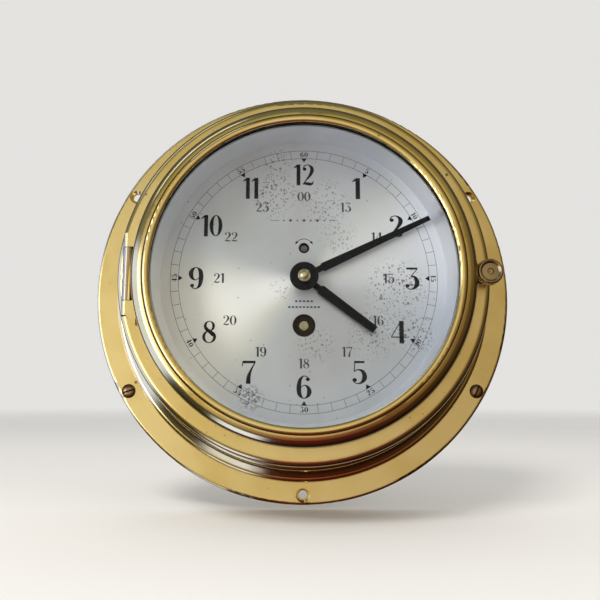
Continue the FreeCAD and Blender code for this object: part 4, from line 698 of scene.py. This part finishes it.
# each digit's width and strokes
DIGITS = {
    "0": (0.56, [oval(0.28, 0.5, 0.20, 0.475)]),
    "1": (0.36, [bar((0.22, 0.0, THICK), (0.22, 1.0, THICK)),
                 bar((0.01, 0.83, THIN), (0.15, 0.93, 0.10))]),
    "2": (0.56, [curve((0.05, 0.78, 0.04), (0.11, 0.93, 0.045), (0.27, 0.98, 0.045),
                       (0.42, 0.87, 0.13), (0.45, 0.71, THICK), (0.37, 0.50, 0.13),
                       (0.20, 0.27, 0.06), (0.05, 0.05, THIN)),
                 curve((0.04, 0.06, 0.05), (0.16, 0.09, 0.12), (0.34, 0.065, 0.14),
                       (0.46, 0.08, 0.08), (0.51, 0.21, 0.03)), ball(0.115, 0.78)]),
    "3": (0.56, [bar((0.08, 0.955, 0.09), (0.50, 0.955, 0.09)),
                 bar((0.49, 0.93, THIN), (0.25, 0.60, THIN)),
                 curve((0.24, 0.60, THIN), (0.38, 0.57, 0.10), (0.47, 0.40, 0.16),
                       (0.46, 0.20, THICK), (0.34, 0.04, 0.08), (0.18, 0.02, 0.04),
                       (0.06, 0.12, 0.04)), ball(0.11, 0.17)]),
    "4": (0.58, [bar((0.40, 0.0, THICK), (0.40, 1.0, THICK)),
                 bar((0.37, 0.98, THIN), (0.02, 0.29, THIN)),
                 bar((0.01, 0.28, 0.05), (0.56, 0.28, 0.05))]),
    "5": (0.56, [bar((0.11, 0.95, 0.10), (0.48, 0.95, 0.09)),
                 bar((0.12, 0.98, THIN), (0.10, 0.52, THIN)),
                 curve((0.10, 0.53, THIN), (0.22, 0.61, 0.05), (0.38, 0.57, 0.11),
                       (0.47, 0.40, 0.16), (0.46, 0.20, THICK), (0.34, 0.04, 0.08),
                       (0.18, 0.02, 0.04), (0.06, 0.12, 0.04)), ball(0.11, 0.17)]),
    "6": (0.56, SIX),
    "7": (0.54, [bar((0.04, 0.945, 0.11), (0.51, 0.945, 0.11)),
                 bar((0.05, 0.95, THIN), (0.03, 0.76, THIN)),
                 curve((0.50, 0.93, 0.04), (0.36, 0.62, 0.07), (0.27, 0.32, 0.14),
                       (0.25, 0.0, THICK))]),
    "8": (0.56, [oval(0.28, 0.755, 0.155, 0.215, 0.10), oval(0.28, 0.28, 0.20, 0.255, 0.11),
                 curve((0.13, 0.72, 0.10), (0.20, 0.60, 0.14), (0.34, 0.47, 0.15),
                       (0.44, 0.33, 0.13))]),
    "9": (0.56, half_turn(SIX, 0.56)),
}


def write(mesh, text, x, y, height, turn=0.0, weight=1.0, stretch=1.0, gap=0.02):
    """Sets a number centred on x, y, turned anticlockwise by turn degrees.

    Weight scales the strokes' widths, stretch the digits' width; gap is in digit heights."""
    width = sum(DIGITS[digit][0] + gap for digit in text) - gap
    pen = -width / 2.0
    cosine, sine = math.cos(math.radians(turn)), math.sin(math.radians(turn))
    for digit in text:
        advance, strokes = DIGITS[digit]
        for kind, points in strokes:
            lines = edges_of([(px, py, pw * weight) for px, py, pw in points],
                             closed=kind == "closed")
            placed = []
            for side in lines:
                row = []
                for px, py in side:
                    across = (pen + px) * height * stretch
                    up = (py - 0.5) * height
                    row.append((x + across * cosine - up * sine,
                                y + across * sine + up * cosine))
                placed.append(row)
            slab(mesh, placed[0], placed[1], closed=kind == "closed")
        pen += advance + gap


def ring_line(mesh, radius, width, level=0.0, steps=240, start=0.0, sweep=360.0):
    """A circle, or an arc of it, centred at a level above the dial's middle."""
    closed = sweep >= 360.0
    count = steps if closed else steps + 1
    angles = [math.radians(start + sweep * step / steps) for step in range(count)]
    rows = []
    for reach in (radius + width / 2, radius - width / 2):
        rows.append([(reach * math.cos(angle), level + reach * math.sin(angle))
                     for angle in angles])
    slab(mesh, rows[0], rows[1], closed=closed)


def straight(mesh, start, end, width):
    """A straight line between two (x, y) points."""
    left, right = edges_of([start + (width,), end + (width,)])
    slab(mesh, left, right)


def on_dial(radius, minutes):
    """The (x, y) point where a hand of that radius points at that minute."""
    angle = math.radians(90.0 - 6.0 * minutes)
    return radius * math.cos(angle), radius * math.sin(angle)


WEDGE_TIP = 0.05    # width of a wedge's blunt point, in millimetres


def wedge(mesh, tip, base_middle, width):
    """A small solid triangle with its point at tip."""
    left, right = edges_of([base_middle + (width,), tip + (WEDGE_TIP,)])
    slab(mesh, left, right)


def piece(name, build, material):
    """Builds one piece of printing in mesh code and hangs it on the case."""
    mesh = bmesh.new()
    build(mesh)
    bmesh.ops.recalc_face_normals(mesh, faces=mesh.faces)
    data = bpy.data.meshes.new(name)
    mesh.to_mesh(data)
    mesh.free()
    made = bpy.data.objects.new(name, data)
    bpy.context.scene.collection.objects.link(made)
    data.materials.append(material)
    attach(made, "case")


# the printing's radii, heights and widths, in millimetres
TRACK_IN, TRACK_OUT = 55.1, 58.7
TRACK_LINE = 0.16
MINUTE_HEIGHT = 2.3
MARKER_TIP, MARKER_BASE, MARKER_WIDTH = 53.3, 55.2, 2.5
HOUR_RADIUS, HOUR_HEIGHT = 47.4, 9.8
SMALL_RADIUS, SMALL_HEIGHT = 37.3, 4.3


def print_track(mesh):
    """Minute track: two fine rings with a line at each minute."""
    ring_line(mesh, TRACK_IN, TRACK_LINE)
    ring_line(mesh, TRACK_OUT, TRACK_LINE)
    for minute in range(60):
        if minute % 5:
            straight(mesh, on_dial(TRACK_IN, minute), on_dial(TRACK_OUT, minute), TRACK_LINE)


def print_minutes(mesh):
    """Every fifth minute's number within the track; the lower half is turned to be read."""
    for minute in range(5, 65, 5):
        x, y = on_dial((TRACK_IN + TRACK_OUT) / 2, minute)
        turn = -6.0 * minute
        if 15 < minute < 45:
            turn += 180.0
        write(mesh, str(minute), x, y, MINUTE_HEIGHT, turn, weight=1.25, stretch=1.15, gap=0.14)


def print_markers(mesh):
    """A triangle at each hour, pointing inwards from the track."""
    for hour in range(12):
        minute = hour * 5
        wedge(mesh, on_dial(MARKER_TIP, minute), on_dial(MARKER_BASE, minute), MARKER_WIDTH)


def print_hours(mesh):
    """The large numbers 1 to 12; those with two digits are set narrower."""
    for hour in range(1, 13):
        x, y = on_dial(HOUR_RADIUS, hour * 5)
        write(mesh, str(hour), x, y, HOUR_HEIGHT, stretch=1.02 if hour > 9 else 1.2)


def print_small_hours(mesh):
    """The small numbers 13 to 23 and 00."""
    for hour in range(12):
        x, y = on_dial(SMALL_RADIUS, hour * 5)
        text = str(hour + 12) if hour else "00"
        write(mesh, text, x, y, SMALL_HEIGHT, weight=0.95, stretch=1.2)


LOZENGE_LEVEL = 26.2
LOZENGE_PITCH = 3.0
LOZENGE_LARGE, LOZENGE_SMALL, LOZENGE_TIP = 1.5, 0.9, 0.04
RULE_START, RULE_END, RULE_WIDTH = 11.0, 15.0, 0.2
# rows of short dashes below the hands: level, pitch and number of dashes to each side
DASH_ROWS = [(-10.2, 1.7, 2), (-12.8, 1.6, 4)]
DASH_HALF, DASH_WIDTH = 0.5, 0.7


def print_ornaments(mesh):
    """Plain lozenges, rules and dashes where a dial carries its lettering."""
    for step in range(-3, 4):
        size = LOZENGE_LARGE if step % 2 == 0 else LOZENGE_SMALL
        x = step * LOZENGE_PITCH
        left, right = edges_of([(x - size / 2, LOZENGE_LEVEL, LOZENGE_TIP),
                                (x, LOZENGE_LEVEL, size),
                                (x + size / 2, LOZENGE_LEVEL, LOZENGE_TIP)])
        slab(mesh, left, right)
    for side in (-1, 1):
        straight(mesh, (side * RULE_START, LOZENGE_LEVEL), (side * RULE_END, LOZENGE_LEVEL),
                 RULE_WIDTH)
    for level, pitch, count in DASH_ROWS:
        for step in range(-count, count + 1):
            straight(mesh, (step * pitch - DASH_HALF, level), (step * pitch + DASH_HALF, level),
                     DASH_WIDTH)


REGULATOR_LEVEL = 13.64
ARC_RADIUS, ARC_WIDTH = 4.1, 0.28
ARC_START, ARC_END = 38.0, 142.0        # degrees anticlockwise from 3 o'clock
ARROW_WIDTH = 1.2
ARROW_TIP = (0.7, 1.0)          # outwards and down from the arc's end
ARROW_BASE = (0.15, 0.35)       # inwards and up from it


def print_regulator(mesh):
    """A double-headed arc over the regulator hole."""
    ring_line(mesh, ARC_RADIUS, ARC_WIDTH, REGULATOR_LEVEL, steps=40, start=ARC_START,
              sweep=ARC_END - ARC_START)
    for degrees, lean in ((ARC_START, -1), (ARC_END, 1)):
        angle = math.radians(degrees)
        x = ARC_RADIUS * math.cos(angle)
        y = REGULATOR_LEVEL + ARC_RADIUS * math.sin(angle)
        wedge(mesh, (x - lean * ARROW_TIP[0], y - ARROW_TIP[1]),
              (x + lean * ARROW_BASE[0], y + ARROW_BASE[1]), ARROW_WIDTH)


INK = printing_ink("ink_black", (0.012, 0.012, 0.014))
INK_LIGHT = printing_ink("ink_worn", (0.035, 0.035, 0.037))
for name, build, ink in (("print_minute_track", print_track, INK_LIGHT),
                         ("print_minutes", print_minutes, INK),
                         ("print_markers", print_markers, INK),
                         ("print_hours", print_hours, INK),
                         ("print_small_hours", print_small_hours, INK_LIGHT),
                         ("print_ornaments", print_ornaments, INK_LIGHT),
                         ("print_regulator", print_regulator, INK)):
    piece(name, build, ink)


# ---------------------------------------------------------------- stage, light and camera

FLOOR_RADIUS = 4.0      # metres
FLOOR_GAP = 0.002       # between the clock's lowest point and the floor, in metres


def floor():
    """A wide round floor just below the clock."""
    mesh = bmesh.new()
    bmesh.ops.create_circle(mesh, cap_ends=True, segments=64, radius=FLOOR_RADIUS)
    data = bpy.data.meshes.new("floor")
    mesh.to_mesh(data)
    mesh.free()
    made = bpy.data.objects.new("floor", data)
    made.location.z = cad_low[2] - FLOOR_GAP
    bpy.context.scene.collection.objects.link(made)
    data.materials.append(pale_ground("pale_floor"))
    made.visible_glossy = False


LIGHT_TARGET = (0.0, -0.04, 0.0)
# name, place and side in metres, power in watts, colour
LIGHTS = [("key", (-0.35, -0.75, 0.75), 0.35, 9.0, (1.0, 0.98, 0.95)),
          ("fill", (0.8, -0.7, 0.2), 0.8, 3.0, (1.0, 0.95, 0.88))]


def area_light(name, place, side, power, colour):
    """A square lamp aimed at the clock, which the metal doesn't mirror."""
    data = bpy.data.lights.new(name, "AREA")
    data.shape = "SQUARE"
    data.size = side
    data.energy = power
    data.color = colour
    light = bpy.data.objects.new(name, data)
    light.location = place
    aim = Vector(LIGHT_TARGET) - Vector(place)
    light.rotation_euler = aim.to_track_quat("-Z", "Y").to_euler()
    light.visible_glossy = False
    bpy.context.scene.collection.objects.link(light)


# What the metal reflects, by direction round the clock's axis and by angle away from it
NEAR_ROOM = [(0.0, (0.95, 0.93, 0.84)), (0.10, (0.70, 0.64, 0.46)), (0.19, (0.34, 0.26, 0.16)),
             (0.25, (0.28, 0.085, 0.065)), (0.33, (0.18, 0.075, 0.055)), (0.42, (0.20, 0.14, 0.08)),
             (0.50, (0.23, 0.17, 0.10)), (0.62, (0.52, 0.46, 0.31)), (0.75, (0.50, 0.47, 0.34)),
             (0.87, (0.42, 0.40, 0.28)), (0.95, (0.62, 0.60, 0.50)), (1.0, (0.95, 0.93, 0.84))]
MIDDLE_ROOM = [(0.0, (0.30, 0.31, 0.29)), (0.08, (0.085, 0.09, 0.07)),
               (0.17, (0.075, 0.07, 0.05)), (0.22, (0.09, 0.018, 0.014)),
               (0.30, (0.060, 0.013, 0.012)), (0.42, (0.060, 0.036, 0.022)),
               (0.50, (0.11, 0.075, 0.045)), (0.62, (0.30, 0.27, 0.17)),
               (0.75, (0.16, 0.18, 0.14)), (0.87, (0.15, 0.16, 0.13)), (1.0, (0.30, 0.31, 0.29))]
WIDE_ROOM = [(0.0, (0.20, 0.20, 0.20)), (0.10, (0.05, 0.05, 0.04)), (0.20, (0.03, 0.012, 0.01)),
             (0.35, (0.012, 0.006, 0.005)), (0.50, (0.035, 0.022, 0.015)),
             (0.62, (0.10, 0.09, 0.06)), (0.75, (0.12, 0.12, 0.10)), (0.90, (0.16, 0.16, 0.14)),
             (1.0, (0.20, 0.20, 0.20))]
SUNLIT = (5.4, 5.2, 5.0)
SKYLIT = (0.85, 1.10, 2.4)
# bright panels: first and last place round the axis, cosines to the front of their inner
# and outer edge, colour
WINDOWS = [(-0.1, 0.082, 0.80, 0.62, SUNLIT), (0.945, 1.1, 0.80, 0.62, SUNLIT),
           (-0.1, 0.082, 0.62, -0.40, SKYLIT), (0.945, 1.1, 0.62, -0.40, SKYLIT),
           (0.150, 0.205, 0.45, -0.20, (0.95, 1.15, 2.3)),
           (0.800, 0.898, 0.30, 0.14, (1.4, 1.7, 3.0))]
SOFT_ROUND = 0.012      # softness of a panel's edges round the axis
SOFT_OUT = 0.05         # and towards the axis, as a cosine
# cosines to the front between which one band of the room gives way to the next
TO_MIDDLE = (0.74, 0.52)
TO_WIDE = (0.26, -0.05)
TO_BEHIND = (-0.28, -0.42)
TO_FAR_BEHIND = (-0.50, -0.75)
TO_AHEAD = (0.84, 0.96)
LEFT_TO_RIGHT = (-0.32, 0.32)       # across the patch straight ahead
BEHIND_DARK = (0.020, 0.010, 0.008)
BEHIND_PALE = (0.36, 0.35, 0.33)
AHEAD_LEFT = (0.94, 0.92, 0.84)
AHEAD_RIGHT = (0.64, 0.56, 0.45)
BACKDROP = (0.86, 0.85, 0.83)
BACKDROP_STRENGTH = 0.9


def studio_world():
    """A pale backdrop for the eye; soft panels of light and dark for the metal to reflect."""
    world = bpy.data.worlds.new("studio")
    bpy.context.scene.world = world
    g = Graph(world, "ShaderNodeOutputWorld")
    direction = g.add("ShaderNodeTexCoord").outputs["Generated"]
    x, y, z = g.split(direction)
    front = g.product(y, -1.0)
    # turn runs anticlockwise to the eye: 0 at the left, 0.25 below, 0.5 right, 0.75 above
    turn = g.calc("DIVIDE", g.calc("ADD", g.calc("ARCTAN2", z, x), math.pi), 2 * math.pi)
    near, middle, wide = (g.ring(turn, room) for room in (NEAR_ROOM, MIDDLE_ROOM, WIDE_ROOM))
    tone = g.mix(g.ramp(front, *TO_MIDDLE), near, middle)
    tone = g.mix(g.ramp(front, *TO_WIDE), tone, wide)
    tone = g.mix(g.ramp(front, *TO_BEHIND), tone, BEHIND_DARK)
    tone = g.mix(g.ramp(front, *TO_FAR_BEHIND), tone, BEHIND_PALE)
    ahead = g.mix(g.ramp(x, *LEFT_TO_RIGHT), AHEAD_LEFT, AHEAD_RIGHT)
    tone = g.mix(g.ramp(front, *TO_AHEAD), tone, ahead)
    for first, last, inner, outer, colour in WINDOWS:
        across = g.product(g.ramp(turn, first - SOFT_ROUND, first + SOFT_ROUND),
                           g.ramp(turn, last + SOFT_ROUND, last - SOFT_ROUND))
        along = g.product(g.ramp(front, inner + SOFT_OUT, inner - SOFT_OUT),
                          g.ramp(front, outer - SOFT_OUT, outer + SOFT_OUT))
        tone = g.mix(g.product(across, along), tone, colour)
    mirrored = g.add("ShaderNodeLightPath").outputs["Is Glossy Ray"]
    backdrop = g.shader("ShaderNodeBackground", Color=BACKDROP, Strength=BACKDROP_STRENGTH)
    g.blend(mirrored, backdrop, g.shader("ShaderNodeBackground", Color=tone))


CAMERA_PLACE = (-0.00384, -0.30801, -0.05066)      # metres
# degrees: the tilt towards the dial, then two small turns
CAMERA_PITCH, CAMERA_YAW, CAMERA_ROLL = -8.703, 0.453, -0.048
SENSOR_WIDTH, FOCAL_LENGTH = 36.0, 37.2            # millimetres


def camera():
    """Stands in front of the dial, a little below its centre, tilted up."""
    upright = Matrix.Rotation(math.radians(90.0), 3, "X")
    pitch = Matrix.Rotation(math.radians(CAMERA_PITCH), 3, "X")
    yaw = Matrix.Rotation(math.radians(CAMERA_YAW), 3, "Y")
    roll = Matrix.Rotation(math.radians(CAMERA_ROLL), 3, "Z")
    turned = upright @ (pitch @ yaw @ roll).transposed()
    data = bpy.data.cameras.new("camera")
    data.sensor_width = SENSOR_WIDTH
    data.lens = FOCAL_LENGTH
    data.clip_start = 0.01
    made = bpy.data.objects.new("camera", data)
    made.matrix_world = Matrix.Translation(CAMERA_PLACE) @ turned.to_4x4()
    bpy.context.scene.collection.objects.link(made)
    bpy.context.scene.camera = made


floor()
studio_world()
for name, place, side, power, colour in LIGHTS:
    area_light(name, place, side, power, colour)
camera()
bpy.context.scene.view_settings.view_transform = "Standard"
